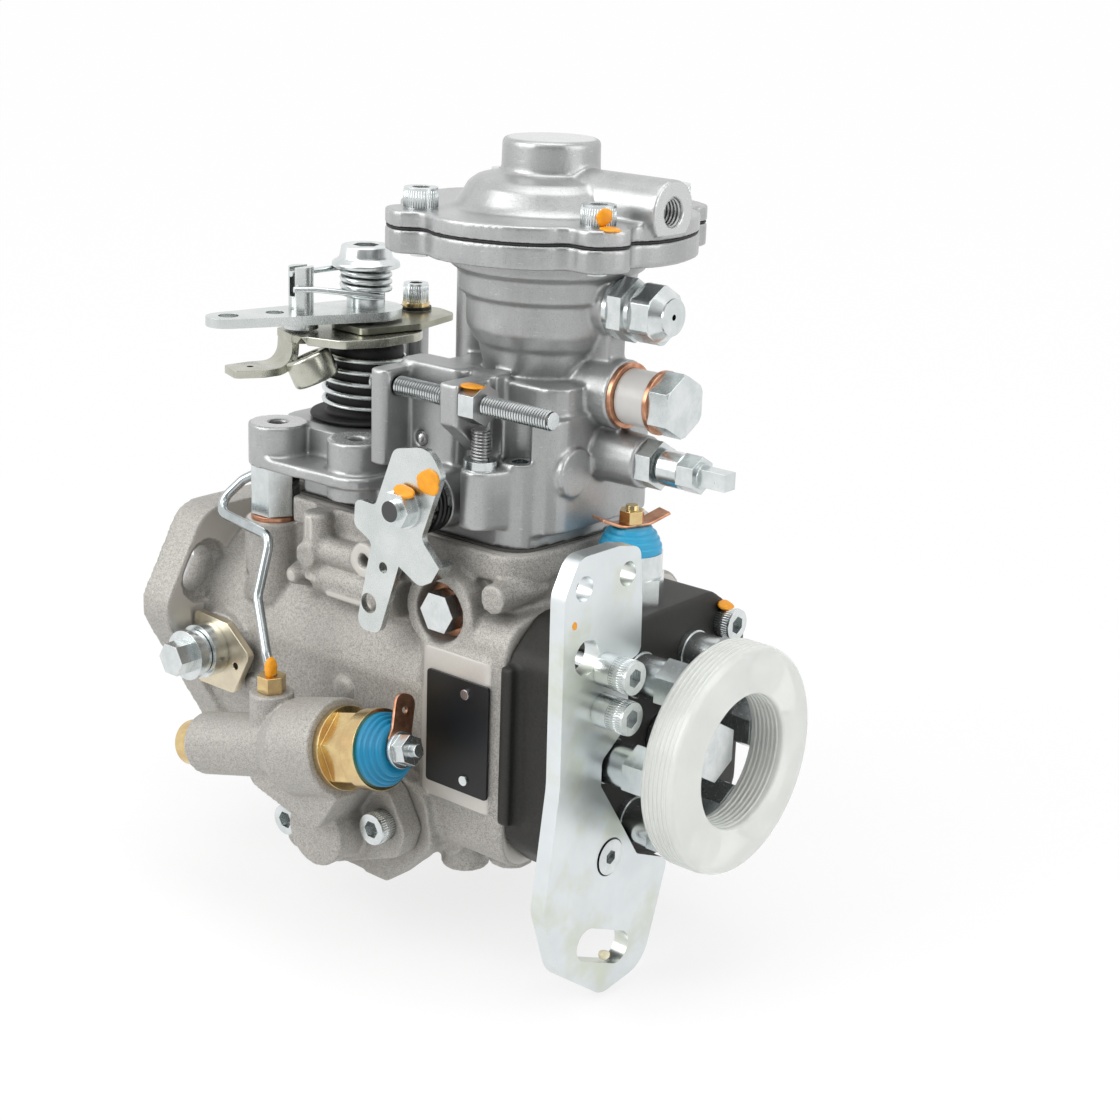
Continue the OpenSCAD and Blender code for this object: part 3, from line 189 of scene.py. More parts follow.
def milled_mask(graph, place, planes):
    """1 on the milled faces: flat, at one of the heights along an axis that planes lists, in mm."""
    normal = graph.node("ShaderNodeNewGeometry", output=1)
    mask = 0.0
    for axis, at_mm in planes:
        gap = abs(graph.axes(place)[axis] - at_mm * MM)
        facing = abs(graph.axes(normal)[axis])
        mask = gap.step(2 * MILLED_DEPTH * MM, MILLED_DEPTH * MM) * facing.step(0.9, 0.97) + mask
    return mask.clamped()


def with_painted_shade_and_wear(graph, base, colour, edge=0.5):
    """Darkens a casting's hollows as painted shade and brightens its rubbed edges as wear."""
    rubbed = graph.node("ShaderNodeNewGeometry", output=7)
    # painted shade: hollows and corners, where little air reaches, are darkened
    base = graph.mix(graph.open_air(9, 6).step(0.85, 0.1) * 0.55, base, shade(colour, 0.42))
    return graph.mix(rubbed.step(0.52, 0.58) * edge, base, shade(colour, 1.5))


def sand_casting(name, colour, planes, grain=0.38, roughness=0.54, metal=0.45):
    """Rough cast metal with fine sand grain, faint patches and smoother milled faces."""
    material, graph, place = new_material(name)
    sand = graph.noise(place, grain, 4.0, 0.7)
    coarse = graph.noise(place, grain * 3.0, 3.0, 0.6)
    patches = graph.noise(place, 26.0, 3.0, 0.5)
    height = sand * 0.78 + coarse * 0.22
    speckle = height.step(0.39, 0.60)
    base = graph.mix(speckle, shade(colour, 0.62), shade(colour, 1.22))
    base = graph.mix(patches.step(0.35, 0.7) * 0.3, base, shade(colour, 0.82))
    # painted shade in the hollows, wear on the rubbed edges
    base = with_painted_shade_and_wear(graph, base, colour, edge=0.3)
    rough = 0.10 * sand + (roughness - 0.05)
    lift = height
    if planes:
        milled = milled_mask(graph, place, planes)
        lines = graph.noise(place, 0.5, 2.0, 0.5, stretch=(1.0, 9.0, 1.0))
        bright = graph.mix(lines, shade(colour, 1.28), shade(colour, 1.46))
        base = graph.mix(milled, base, bright)
        rough = rough - milled * 0.20
        lift = height * (1 - milled * 0.93)
    skin(graph, Base_Color=base, Metallic=metal, Roughness=rough, Normal=graph.bump(lift, 0.9, 0.2))
    return material


def die_casting(name, colour, planes, roughness=0.36):
    """Smooth pressure cast metal with a soft sheen, flow marks and milled faces."""
    material, graph, place = new_material(name)
    flow = graph.noise(place, 17.0, 4.0, 0.62, stretch=(1.0, 1.0, 0.45))
    fine = graph.noise(place, 1.1, 4.0, 0.65)
    dust = graph.noise(place, 0.32, 2.0, 0.5)
    base = graph.mix(flow.step(0.3, 0.72), shade(colour, 0.86), shade(colour, 1.08))
    base = graph.mix(fine.step(0.55, 0.8) * 0.4, base, shade(colour, 1.3))
    base = graph.mix(dust.step(0.54, 0.7) * 0.55, base, shade(colour, 0.55))
    streaks = graph.noise(place, 1.6, 5.0, 0.75, stretch=(0.5, 0.5, 2.4))
    base = graph.mix(streaks.step(0.6, 0.7) * 0.65, base, shade(colour, 1.5))
    milled = milled_mask(graph, place, planes)
    # painted shade in the hollows and wear on the rubbed edges
    base = graph.mix(milled, with_painted_shade_and_wear(graph, base, colour), shade(colour, 1.32))
    rough = flow * 0.2 + fine * 0.14 + (roughness - 0.17) - milled * 0.1
    lift = (fine * 0.7 + dust * 0.3) * (1 - milled * 0.8)
    skin(graph, Base_Color=base, Metallic=0.72, Roughness=rough, Normal=graph.bump(lift, 0.55, 0.12))
    return material


def plated_steel(name, light, dark, roughness=0.25, cloud=6.0, wear=0.4, stain=None):
    """Zinc plate: faint clouds, fine handling marks, painted shade in its hollows, a lively gloss and, on
    sheet, coloured stains.
    """
    material, graph, place = new_material(name)
    clouds = graph.noise(place, cloud, 3.0, 0.6)
    marks = graph.noise(place, 0.9, 4.0, 0.7, stretch=(1.0, 1.0, 0.35))
    grain = graph.noise(place, 0.22, 2.0, 0.5)
    base = graph.mix(clouds.step(0.3, 0.7), rgb(dark), rgb(light))
    if stain:
        spots = graph.noise(place, 26.0, 4.0, 0.6)
        base = graph.mix(spots.step(0.48, 0.66) * 0.7, base, rgb(stain))
    base = graph.mix(marks.step(0.6, 0.78) * wear, base, shade(dark, 0.74))
    # painted shade: sockets, thread valleys and other hollows are darkened where little air reaches
    base = graph.mix(graph.open_air(5, 4).step(0.6, 0.05) * 0.75, base, shade(dark, 0.3))
    rough = marks * 0.14 + grain * 0.06 + (roughness - 0.1)
    skin(graph, Base_Color=base, Metallic=1.0, Roughness=rough, Normal=graph.bump(grain, 0.15, 0.02))
    return material


def bare_steel(name, colour, roughness=0.3):
    """Machined steel with fine turning lines."""
    material, graph, place = new_material(name)
    lines = graph.noise(place, 0.6, 3.0, 0.6, stretch=(6.0, 1.0, 1.0))
    oil = graph.noise(place, 9.0, 2.0, 0.5)
    base = graph.mix(lines, shade(colour, 0.86), shade(colour, 1.08))
    base = graph.mix(oil.step(0.5, 0.75) * 0.3, base, shade(colour, 0.7))
    skin(graph, Base_Color=base, Metallic=1.0, Roughness=lines * 0.14 + (roughness - 0.07),
         Normal=graph.bump(lines, 0.25, 0.03))
    return material


def moulded_rubber(name, colour):
    """Black rubber with a faint bloom."""
    material, graph, place = new_material(name)
    bloom = graph.noise(place, 5.0, 3.0, 0.6)
    pores = graph.noise(place, 0.35, 2.0, 0.5)
    base = graph.mix(bloom.step(0.45, 0.8) * 0.5, rgb(colour), shade(colour, 2.2))
    skin(graph, Base_Color=base, Roughness=bloom * 0.14 + 0.55, Normal=graph.bump(pores, 0.4, 0.06))
    return material


def blue_plastic(name, colour):
    """Moulded insulator plastic."""
    material, graph, place = new_material(name)
    flow = graph.noise(place, 7.0, 2.0, 0.5)
    pores = graph.noise(place, 0.5, 2.0, 0.5)
    base = graph.mix(flow, shade(colour, 0.9), shade(colour, 1.1))
    skin(graph, Base_Color=base, Roughness=flow * 0.1 + 0.33, Normal=graph.bump(pores, 0.2, 0.03))
    return material


def clear_plastic(name, colour, cloudy, roughness, transmission):
    """Milky see-through plastic."""
    material, graph, place = new_material(name)
    flow = graph.noise(place, 9.0, 3.0, 0.55)
    fine = graph.noise(place, 0.8, 3.0, 0.6)
    base = graph.mix(flow.step(0.3, 0.7) * cloudy, rgb(colour), shade(colour, 0.9))
    skin(graph, Base_Color=base, Roughness=flow * 0.1 + (roughness - 0.05), IOR=1.46,
         Transmission_Weight=transmission, Normal=graph.bump(fine, 0.12, 0.03))
    return material


def black_label(name, colour):
    """Satin black anodised sheet."""
    material, graph, place = new_material(name)
    brushed = graph.noise(place, 0.5, 3.0, 0.6, stretch=(0.6, 1.0, 6.0))
    haze = graph.noise(place, 12.0, 2.0, 0.5)
    base = graph.mix(brushed, shade(colour, 0.8), shade(colour, 1.5))
    skin(graph, Base_Color=base, Metallic=0.3, Roughness=haze * 0.14 + 0.3,
         Normal=graph.bump(brushed, 0.2, 0.02))
    return material


def lacquer(name, colour):
    """Thick marking lacquer, brushed on."""
    material, graph, place = new_material(name)
    flow = graph.noise(place, 2.4, 3.0, 0.6)
    base = graph.mix(flow.step(0.3, 0.75), shade(colour, 0.86), shade(colour, 1.08))
    skin(graph, Base_Color=base, Roughness=flow * 0.12 + 0.3, Normal=graph.bump(flow, 0.5, 0.15))
    return material


MADE = {}
CAST_GREY = (0.43, 0.413, 0.385)
DIE_GREY = (0.43, 0.435, 0.435)
# Milled faces: their axis, 0 to 2, and their place along it
HOUSING_PLANES = ((2, 57.0), (0, 0.0), (0, -8.0), (0, 13.0), (0, 147.0), (1, -44.0), (2, 47.0))
COVER_PLANES = ((2, 80.0), (2, 84.0), (2, 82.0), (0, 154.0), (1, -39.0))
ZINC = ((0.74, 0.77, 0.77), (0.62, 0.66, 0.66))
# Finish: its maker, then the maker's settings
FINISHES = {
    "housing casting": (sand_casting, CAST_GREY, HOUSING_PLANES),
    "timer casting": (sand_casting, CAST_GREY, ((1, 53.0),), 0.34),
    "cover casting": (die_casting, DIE_GREY, COVER_PLANES),
    "lid casting": (die_casting, (0.45, 0.455, 0.455), ((0, 168.0), (2, 175.4)), 0.33),
    "head iron": (sand_casting, (0.021, 0.020, 0.017), (), 0.4, 0.5, 0.25),
    "clear zinc": (plated_steel, *ZINC),
    "pipe zinc": (plated_steel, (0.52, 0.56, 0.57), (0.42, 0.46, 0.47), 0.24),
    "lever zinc": (plated_steel, (0.70, 0.73, 0.72), (0.60, 0.64, 0.63), 0.27, 12.0),
    "sheet zinc": (plated_steel, (0.77, 0.81, 0.82), (0.70, 0.74, 0.75), 0.33, 22.0, 0.3,
                   (0.64, 0.67, 0.55)),
    "yellow zinc": (plated_steel, (0.74, 0.66, 0.50), (0.64, 0.57, 0.44), 0.3, 7.0),
    "pale yellow zinc": (plated_steel, (0.56, 0.56, 0.49), (0.44, 0.44, 0.37), 0.26, 9.0),
    "olive zinc": (plated_steel, (0.42, 0.42, 0.34), (0.30, 0.30, 0.24), 0.3, 9.0),
    "gold zinc": (plated_steel, (0.76, 0.60, 0.30), (0.62, 0.44, 0.22), 0.2, 8.0),
    "bare steel": (bare_steel, (0.52, 0.52, 0.52)),
    "bronze": (bare_steel, (0.52, 0.38, 0.2), 0.36),
    "copper": (plated_steel, (0.70, 0.38, 0.24), (0.48, 0.22, 0.13), 0.3, 2.5),
    "black steel": (bare_steel, (0.045, 0.045, 0.045), 0.4),
    "rubber": (moulded_rubber, (0.012, 0.012, 0.014)),
    "gasket": (moulded_rubber, (0.06, 0.058, 0.054)),
    "blue plastic": (blue_plastic, (0.001, 0.20, 0.37)),
    "light blue plastic": (blue_plastic, (0.03, 0.36, 0.60)),
    "cap plastic": (clear_plastic, (0.95, 0.97, 0.93), 0.35, 0.2, 0.35),
    # painted shade: dark steel laid where the shade between thread ridges falls
    "thread root": (bare_steel, (0.10, 0.10, 0.10), 0.45),
    "sleeve plastic": (clear_plastic, (0.80, 0.79, 0.76), 0.5, 0.34, 0.3),
    "label black": (black_label, (0.012, 0.012, 0.013)),
    "orange lacquer": (lacquer, (0.84, 0.33, 0.005)),
    "cream lacquer": (lacquer, (0.82, 0.76, 0.55)),
}


def finish_named(name):
    """The material of a finish, made once."""
    if name not in MADE:
        maker, *settings = FINISHES[name]
        MADE[name] = maker(name.replace(" ", "_"), *settings)
    return MADE[name]


# Mesh helpers


def cad_mesh(node):
    """A copy of a CAD node's mesh, with its loose triangles welded."""
    mesh = bmesh.new()
    mesh.from_mesh(NODES[node].data)
    bmesh.ops.remove_doubles(mesh, verts=mesh.verts, dist=2e-6)
    mesh.normal_update()
    return mesh


def object_from(mesh, name):
    """An object at the origin from a bmesh, which is freed."""
    data = bpy.data.meshes.new(name)
    mesh.to_mesh(data)
    mesh.free()
    made = bpy.data.objects.new(name, data)
    bpy.context.scene.collection.objects.link(made)
    return made


def with_modifiers_applied(made):
    """The object with its modifiers turned into plain mesh."""
    bpy.context.view_layer.update()
    evaluated = made.evaluated_get(bpy.context.evaluated_depsgraph_get())
    data = bpy.data.meshes.new_from_object(evaluated)
    old = made.data
    made.modifiers.clear()
    made.data = data
    data.name = made.name
    bpy.data.meshes.remove(old)
    return made


def painted(made, finish):
    """The object with one more finish; the first one covers every face."""
    made.data.materials.append(finish_named(finish))
    return made


def settle(made, nodes=(), body=None):
    """Gives a piece its body and hides the CAD nodes that it stands for."""
    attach(made, body or BODY_OF[nodes[0]])
    if nodes:
        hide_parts(*nodes)
    return made


MOST_TRIANGLES = 190000


def cast_piece(name, node, finish, voxel, rounds, blocks=()):
    """A casting: a copy of the CAD shape remeshed and smoothed so that every corner has a fillet.

    Blocks are boxes in mm, low and high corner, that are cast on."""
    mesh = cad_mesh(node)
    for low, high in blocks:
        box = bmesh.ops.create_cube(mesh, size=MM)["verts"]
        for vertex in box:
            for k in range(3):
                vertex.co[k] = MM * (low[k] if vertex.co[k] < 0 else high[k])
    made = object_from(mesh, name)
    remesh = made.modifiers.new("remesh", "REMESH")
    remesh.mode = "VOXEL"
    remesh.voxel_size = voxel * MM
    smooth = made.modifiers.new("fillet", "SMOOTH")
    smooth.factor = 0.5
    smooth.iterations = rounds
    with_modifiers_applied(made)
    triangles = len(made.data.polygons) * 2
    if triangles > MOST_TRIANGLES:
        thin = made.modifiers.new("thin", "DECIMATE")
        thin.ratio = MOST_TRIANGLES / triangles
        with_modifiers_applied(made)
    made.data.shade_smooth()
    return settle(painted(made, finish), [node])


def bevel_mesh(made, width):
    """Rounds a hard-edged mesh's edges and keeps its flat faces flat."""
    bevel = made.modifiers.new("bevel", "BEVEL")
    bevel.width = width * MM
    bevel.segments = 2
    bevel.limit_method = "ANGLE"
    bevel.angle_limit = math.radians(35)
    bevel.use_clamp_overlap = True
    with_modifiers_applied(made)
    made.data.shade_smooth()
    made.data.set_sharp_from_angle(angle=math.radians(40))
    even = made.modifiers.new("even", "WEIGHTED_NORMAL")
    even.keep_sharp = True
    with_modifiers_applied(made)
    return made


def broken_edges(name, node, width, keep=None):
    """A copy of a CAD node with its edges broken; keep tests a face's centre in mm."""
    mesh = cad_mesh(node)
    if keep:
        drop = [face for face in mesh.faces if not keep(face.calc_center_median() / MM)]
        bmesh.ops.delete(mesh, geom=drop, context="FACES")
        bmesh.ops.holes_fill(mesh, edges=[edge for edge in mesh.edges if edge.is_boundary])
    flat = math.radians(1.0)
    bmesh.ops.dissolve_limit(mesh, angle_limit=flat, verts=mesh.verts, edges=mesh.edges)
    return bevel_mesh(object_from(mesh, name), width)


def turned_piece(name, node, finish, width):
    """A machined or stamped part that stands for its CAD node."""
    return settle(painted(broken_edges(name, node, width), finish), [node])


def filleted(corners, steps=4):
    """An outline whose corners, (x, y, fillet), are cut round."""
    outline = []
    for i, (x, y, fillet) in enumerate(corners):
        here = Vector((x, y))
        if not fillet:
            outline.append(here)
            continue
        start = here + (Vector(corners[i - 1][:2]) - here).normalized() * fillet
        end = here + (Vector(corners[(i + 1) % len(corners)][:2]) - here).normalized() * fillet
        for k in range(steps + 1):
            share = k / steps
            outline.append(start * (1 - share) ** 2 + here * (2 * share * (1 - share)) + end * share ** 2)
    return outline


def lathe(name, section, at, axis, finish, steps=96):
    """A turned solid from its closed half section, (radius, height, fillet), sizes in mm."""
    mesh = bmesh.new()
    rim = [mesh.verts.new((radius * MM, 0, height * MM)) for radius, height in filleted(section)]
    edges = [mesh.edges.new((rim[i - 1], rim[i])) for i in range(len(rim))]
    bmesh.ops.spin(mesh, geom=rim + edges, cent=(0, 0, 0), axis=(0, 0, 1), angle=math.tau, steps=steps,
                   use_merge=True)
    bmesh.ops.remove_doubles(mesh, verts=mesh.verts, dist=1e-6)
    bmesh.ops.dissolve_degenerate(mesh, dist=1e-7, edges=mesh.edges)
    made = placed(object_from(mesh, name), at, axis)
    made.data.set_sharp_from_angle(angle=math.radians(30))
    return painted(made, finish)


def strip(name, path, width, thickness, finish, place):
    """Sheet bent along a path, (x, z, bend), with its width along Y; place is its matrix in mm.

    The width is a number, or pairs of x and width."""
    line = filleted(path, 6)
    mesh = bmesh.new()
    rows = []
    for i, point in enumerate(line):
        along = (line[min(i + 1, len(line) - 1)] - line[max(i - 1, 0)]).normalized()
        side = Vector((-along.y, along.x)) * thickness / 2
        reach = width_at(width, point.x) / 2
        rows.append([mesh.verts.new(((point.x + side.x * way) * MM, reach * edge * MM,
                                     (point.y + side.y * way) * MM))
                     for way, edge in ((1, 1), (1, -1), (-1, -1), (-1, 1))])
    for first, second in zip(rows, rows[1:]):
        for k in range(4):
            mesh.faces.new((first[k - 1], first[k], second[k], second[k - 1]))
    mesh.faces.new(rows[0])
    mesh.faces.new(rows[-1])
    bmesh.ops.recalc_face_normals(mesh, faces=mesh.faces)
    made = bevel_mesh(object_from(mesh, name), min(0.3, thickness / 4))
    made.data.transform(Matrix.Scale(MM, 4) @ place @ Matrix.Scale(1 / MM, 4))
    return painted(made, finish)


def width_at(width, x):
    """A strip's width at a place along X."""
    if isinstance(width, (int, float)):
        return width
    for (x0, wide0), (x1, wide1) in zip(width, width[1:]):
        if x <= x1:
            return wide0 + (wide1 - wide0) * max(0.0, (x - x0) / (x1 - x0))
    return width[-1][1]


def cut(made, tool):
    """Takes one object out of another."""
    modifier = made.modifiers.new("cut", "BOOLEAN")
    modifier.object = tool
    modifier.solver = "EXACT"
    with_modifiers_applied(made)
    bpy.data.objects.remove(tool)
    return made


def prism(name, sides, radius, height, at, axis, turn=0.0):
    """A tool for cutting: a straight prism that starts at a place, sizes in mm."""
    mesh = bmesh.new()
    bmesh.ops.create_cone(mesh, cap_ends=True, segments=sides, radius1=radius * MM, radius2=radius * MM,
                          depth=height * MM, matrix=Matrix.Translation((0, 0, height / 2 * MM)))
    made = placed(object_from(mesh, name), at, axis, turn)
    made.data.shade_flat()
    return made


def paint_faces(made, finish, test):
    """Gives the faces that pass a test on their centre, in mm, another finish."""
    place = len(painted(made, finish).data.materials) - 1
    for face in made.data.polygons:
        if test(face.center / MM):
            face.material_index = place


# Geometry Nodes trees


SOCKET_KINDS = {float: "NodeSocketFloat", int: "NodeSocketInt", type(None): "NodeSocketObject"}


class Tree(Graph):
    """A Geometry Nodes tree with named inputs, which are given with their defaults."""

    def __init__(self, name, **defaults):
        super().__init__(bpy.data.node_groups.new(name, "GeometryNodeTree"))
        self.identifiers = {}
        for label, default in defaults.items():
            self.add_input(label, SOCKET_KINDS[type(default)], default)
        self.add_input("Material", "NodeSocketMaterial")
        self.tree.interface.new_socket("Geometry", in_out="OUTPUT", socket_type="NodeSocketGeometry")
        start = self.tree.nodes.new("NodeGroupInput")
        self.given = {label: Value(self, start.outputs[label]) for label in self.identifiers}

    def add_input(self, label, kind, default=None):
        """Adds a named input to the tree."""
        socket = self.tree.interface.new_socket(label, in_out="INPUT", socket_type=kind)
        if default is not None:
            socket.default_value = default
        self.identifiers[label] = socket.identifier

    def circle(self, steps, radius):
        """A round curve."""
        return self.node("GeometryNodeCurvePrimitiveCircle", {"mode": "RADIUS"},
                         {"Resolution": steps, "Radius": radius})

    def swept(self, line, section, capped=True):
        """A section drawn along a line."""
        return self.node("GeometryNodeCurveToMesh", None,
                         {"Curve": line, "Profile Curve": section, "Fill Caps": capped})

    def on_points(self, points, shape):
        """A copy of a shape on each point."""
        return self.node("GeometryNodeInstanceOnPoints", None, {"Points": points, "Instance": shape})

    def upward(self, height):
        """A way up along Z."""
        return self.node("ShaderNodeCombineXYZ", None, {2: height})

    def close(self, geometry):
        """Ends the tree: real mesh, one material."""
        real = self.node("GeometryNodeRealizeInstances", None, {0: geometry})
        finished = self.node("GeometryNodeSetMaterial", None, {0: real, 2: self.given["Material"]})
        self.node("NodeGroupOutput", None, {0: finished})
        return self

    def grow(self, name, finish, **inputs):
        """A plain mesh from the tree for these input values."""
        holder = bpy.data.objects.new(name, bpy.data.meshes.new(name))
        bpy.context.scene.collection.objects.link(holder)
        modifier = holder.modifiers.new("tree", "NODES")
        modifier.node_group = self.tree
        for label, value in {**inputs, "Material": finish_named(finish)}.items():
            modifier[self.identifiers[label]] = value
        return with_modifiers_applied(holder)


def coil_tree():
    """A round wire wound into a helix that climbs along Z from the origin."""
    tree = Tree("wire_coil", Radius=0.01, Wire=0.001, Turns=5.0, Height=0.02, Steps=28, Sides=10)
    given = tree.given
    line = tree.node("GeometryNodeCurveSpiral", None, {
        "Resolution": given["Steps"], "Rotations": given["Turns"], "Start Radius": given["Radius"],
        "End Radius": given["Radius"], "Height": given["Height"]})
    upright = tree.node("GeometryNodeSetCurveNormal", {"mode": "Z_UP"}, {"Curve": line})
    return tree.close(tree.swept(upright, tree.circle(given["Sides"], given["Wire"])))


def ring_tree():
    """Thin rings set side by side along Z."""
    tree = Tree("rings", Count=6, Pitch=0.002, Radius=0.035, Ridge=0.0005)
    given = tree.given
    points = tree.node("GeometryNodeMeshLine", {"mode": "OFFSET"}, {"Count": given["Count"]})
    lift = tree.upward(tree.node("GeometryNodeInputIndex") * given["Pitch"])
    row = tree.node("GeometryNodeSetPosition", None, {0: points, 2: lift})
    ring = tree.swept(tree.circle(96, given["Radius"]), tree.circle(8, given["Ridge"]), False)
    return tree.close(tree.on_points(row, ring))


def knurl_tree():
    """Fine ridges round a screw's head, standing along Z on the origin."""
    tree = Tree("knurl", Count=40, Radius=0.005, Height=0.005, Ridge=0.0003)
    given = tree.given
    circle = tree.node("GeometryNodeMeshCircle", None,
                       {"Vertices": given["Count"], "Radius": given["Radius"]})
    row = tree.node("GeometryNodeSetPosition", None,
                    {"Geometry": circle, "Offset": tree.upward(given["Height"] * 0.5)})
    ridge = tree.node("GeometryNodeMeshCylinder", None,
                      {"Vertices": 6, "Radius": given["Ridge"], "Depth": given["Height"]})
    return tree.close(tree.on_points(row, ridge))


def tube_tree():
    """A tube along the edges of a guide mesh, with its corners bent round."""
    tree = Tree("bent_tube", Guide=None, Bend=0.006, Radius=0.0016)
    guide = tree.node("GeometryNodeObjectInfo", None, {0: tree.given["Guide"]}, output=4)
    line = tree.node("GeometryNodeMeshToCurve", None, {0: guide})
    bent = tree.node("GeometryNodeFilletCurve", {"mode": "POLY"},
                     {"Curve": line, "Count": 8, "Radius": tree.given["Bend"], "Limit Radius": True})
    return tree.close(tree.swept(bent, tree.circle(20, tree.given["Radius"])))


def turned_to(axis):
    """The turn that lays a shape made along +Z along another axis."""
    return Vector((0, 0, 1)).rotation_difference(Vector(axis)).to_matrix().to_4x4()


def placed(made, at, axis=(0, 0, 1), turn=0.0):
    """Moves a made mesh from the origin to its place, in mm, with its normals outward."""
    spin = Matrix.Rotation(math.radians(turn), 4, "Z")
    made.data.transform(Matrix.Translation(Vector(at) * MM) @ turned_to(axis) @ spin)
    mesh = bmesh.new()
    mesh.from_mesh(made.data)
    bmesh.ops.remove_doubles(mesh, verts=mesh.verts, dist=1e-7)
    bmesh.ops.recalc_face_normals(mesh, faces=mesh.faces)
    mesh.to_mesh(made.data)
    mesh.free()
    made.data.shade_smooth()
    return made


TREES = {}


def tree_from(maker):
    """The tree that a function makes, made once."""
    if maker not in TREES:
        TREES[maker] = maker()
    return TREES[maker]


def coil(name, at, axis, radius, wire, turns, height, finish, steps):
    """A spring of round wire, sizes in mm."""
    made = tree_from(coil_tree).grow(name, finish, Radius=radius * MM, Wire=wire * MM, Turns=float(turns),
                                     Height=height * MM, Steps=steps, Sides=10)
    return placed(made, at, axis)


# Radius of a thread's ridge as a share of its pitch
THREAD_SHARE = 0.36


def thread(name, at, axis, radius, pitch, length, finish="clear zinc"):
    """The ridge of a screw thread of this outer radius: a helix of diamond section sunk into its shank."""
    ridge = pitch * THREAD_SHARE
    made = tree_from(coil_tree).grow(name, finish, Radius=(radius - ridge) * MM, Wire=ridge * MM,
                                     Turns=length / pitch, Height=length * MM, Steps=32, Sides=4)
    made = placed(made, at, axis)
    made.data.set_sharp_from_angle(angle=math.radians(25))
    return made


def knurl(name, at, axis, radius, height, count=40):
    """The knurl of a socket head that stands on a seat, sizes in mm."""
    made = tree_from(knurl_tree).grow(name, "clear zinc", Count=count, Radius=(radius - 0.1) * MM,
                                      Height=(height - 1.1) * MM, Ridge=0.24 * MM)
    return placed(made, [at[k] + axis[k] * 0.3 for k in range(3)], axis)


def bent_wire(name, points, radius, bend, finish):
    """A round wire or tube through points in mm, bent at each."""
    guide_mesh = bpy.data.meshes.new("guide")
    edges = [(i, i + 1) for i in range(len(points) - 1)]
    guide_mesh.from_pydata([Vector(point) * MM for point in points], edges, [])
    guide = bpy.data.objects.new("guide", guide_mesh)
    bpy.context.scene.collection.objects.link(guide)
    made = tree_from(tube_tree).grow(name, finish, Guide=guide, Bend=bend * MM, Radius=radius * MM)
    bpy.data.objects.remove(guide)
    return placed(made, (0, 0, 0))


def joined(name, parts):
    """One object from several, all at the origin."""
    mesh = bmesh.new()
    materials = []
    for part in parts:
        before = len(mesh.faces)
        names = [material.name for material in part.data.materials if material]
        materials += [material for material in names if material not in materials]
        mesh.from_mesh(part.data)
        mesh.faces.ensure_lookup_table()
        for face in mesh.faces[before:]:
            face.material_index = materials.index(names[min(face.material_index, len(names) - 1)])
    made = object_from(mesh, name)
    for material in materials:
        made.data.materials.append(bpy.data.materials[material])
    for part in parts:
        bpy.data.objects.remove(part)
    return made


def daub(name, at, normal, across, thick, finish, body, seed, stretch=1.0, tilt=0.0):
    """A brushed-on patch of lacquer with a ragged edge, half sunk into what it lies on."""
    draw = random.Random(seed)
    waves = [(draw.uniform(0, math.tau), draw.uniform(0.3, 0.9) * size, count)
             for count, size in ((1, 0.12), (2, 0.12), (3, 0.07), (5, 0.04), (9, 0.025))]
    mesh = bmesh.new()
    bmesh.ops.create_icosphere(mesh, subdivisions=4, radius=1.0)
    for vertex in mesh.verts:
        angle = math.atan2(vertex.co.y, vertex.co.x)
        reach = 1 + sum(size * math.sin(count * angle + start) for start, size, count in waves)
        vertex.co.x *= across / 2 * reach * stretch
        vertex.co.y *= across / 2 * reach
        vertex.co.z = math.copysign(abs(vertex.co.z) ** 0.6, vertex.co.z) * thick
    turn = turned_to(normal) @ Matrix.Rotation(math.radians(tilt), 4, "Z")
    mesh.transform(Matrix.Scale(MM, 4) @ Matrix.Translation(Vector(at)) @ turn)
    made = painted(object_from(mesh, name), finish)
    made.data.shade_smooth()
    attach(made, body)
    return made


# Settings


class CastingSettings(bpy.types.PropertyGroup):
    """How the castings are remeshed."""

    voxel: FloatProperty(name="Cell", description="Cell size of the remeshed castings", default=0.8,
                         min=0.5, max=3.0)
    rounds: IntProperty(name="Fillet rounds", description="Smoothing rounds that make the fillets",
                        default=4, min=0, max=30)


class MetalSettings(bpy.types.PropertyGroup):
    """Edges and threads of the steel parts."""

    edge: FloatProperty(name="Edge width", description="Width of a broken edge on turned parts, in mm",
                        default=0.35, min=0.0, max=2.0)
    pitch: FloatProperty(name="Thread pitch", description="Pitch of the adjusting screws, in mm",
                         default=1.0, min=0.3, max=2.0)


class WireSettings(bpy.types.PropertyGroup):
    """Springs and the pipe."""

    steps: IntProperty(name="Steps", description="Steps in one turn of a spring", default=32, min=8, max=96)
    bend: FloatProperty(name="Pipe bend", description="Bend radius of the pressure pipe, in mm",
                        default=5.0, min=1.0, max=20.0)


MARK_THICKNESS = 0.35


class MarkSettings(bpy.types.PropertyGroup):
    """Marking lacquer."""

    thickness: FloatProperty(name="Thickness", description="Thickness of a lacquer mark, in mm",
                             default=MARK_THICKNESS, min=0.05, max=2.0)


class StageSettings(bpy.types.PropertyGroup):
    """Floor, lamps and ambient light."""

    ambient: FloatProperty(name="Ambient", description="Light from all round on matt surfaces",
                           default=0.5, min=0.0, max=2.0)
    key_power: FloatProperty(name="Key lamp", description="Power of the large lamp on the left",
                             default=9.0, min=0.0, unit="POWER")
    fill_power: FloatProperty(name="Fill lamp", description="Power of the lamp on the right",
                              default=3.5, min=0.0, unit="POWER")
    top_power: FloatProperty(name="Top lamp", description="Power of the lamp overhead",
                             default=4.0, min=0.0, unit="POWER")
    floor_colour: FloatVectorProperty(name="Floor", description="Colour of the floor", subtype="COLOR",
                                      size=3, default=(0.92, 0.92, 0.92), min=0.0, max=1.0)


# Operators


# A narrow strip cast on the head's near side: its low and high corner
HEAD_BLOCKS = (((147.2, -46.5, -23), (151.6, -38, 27.5)),)
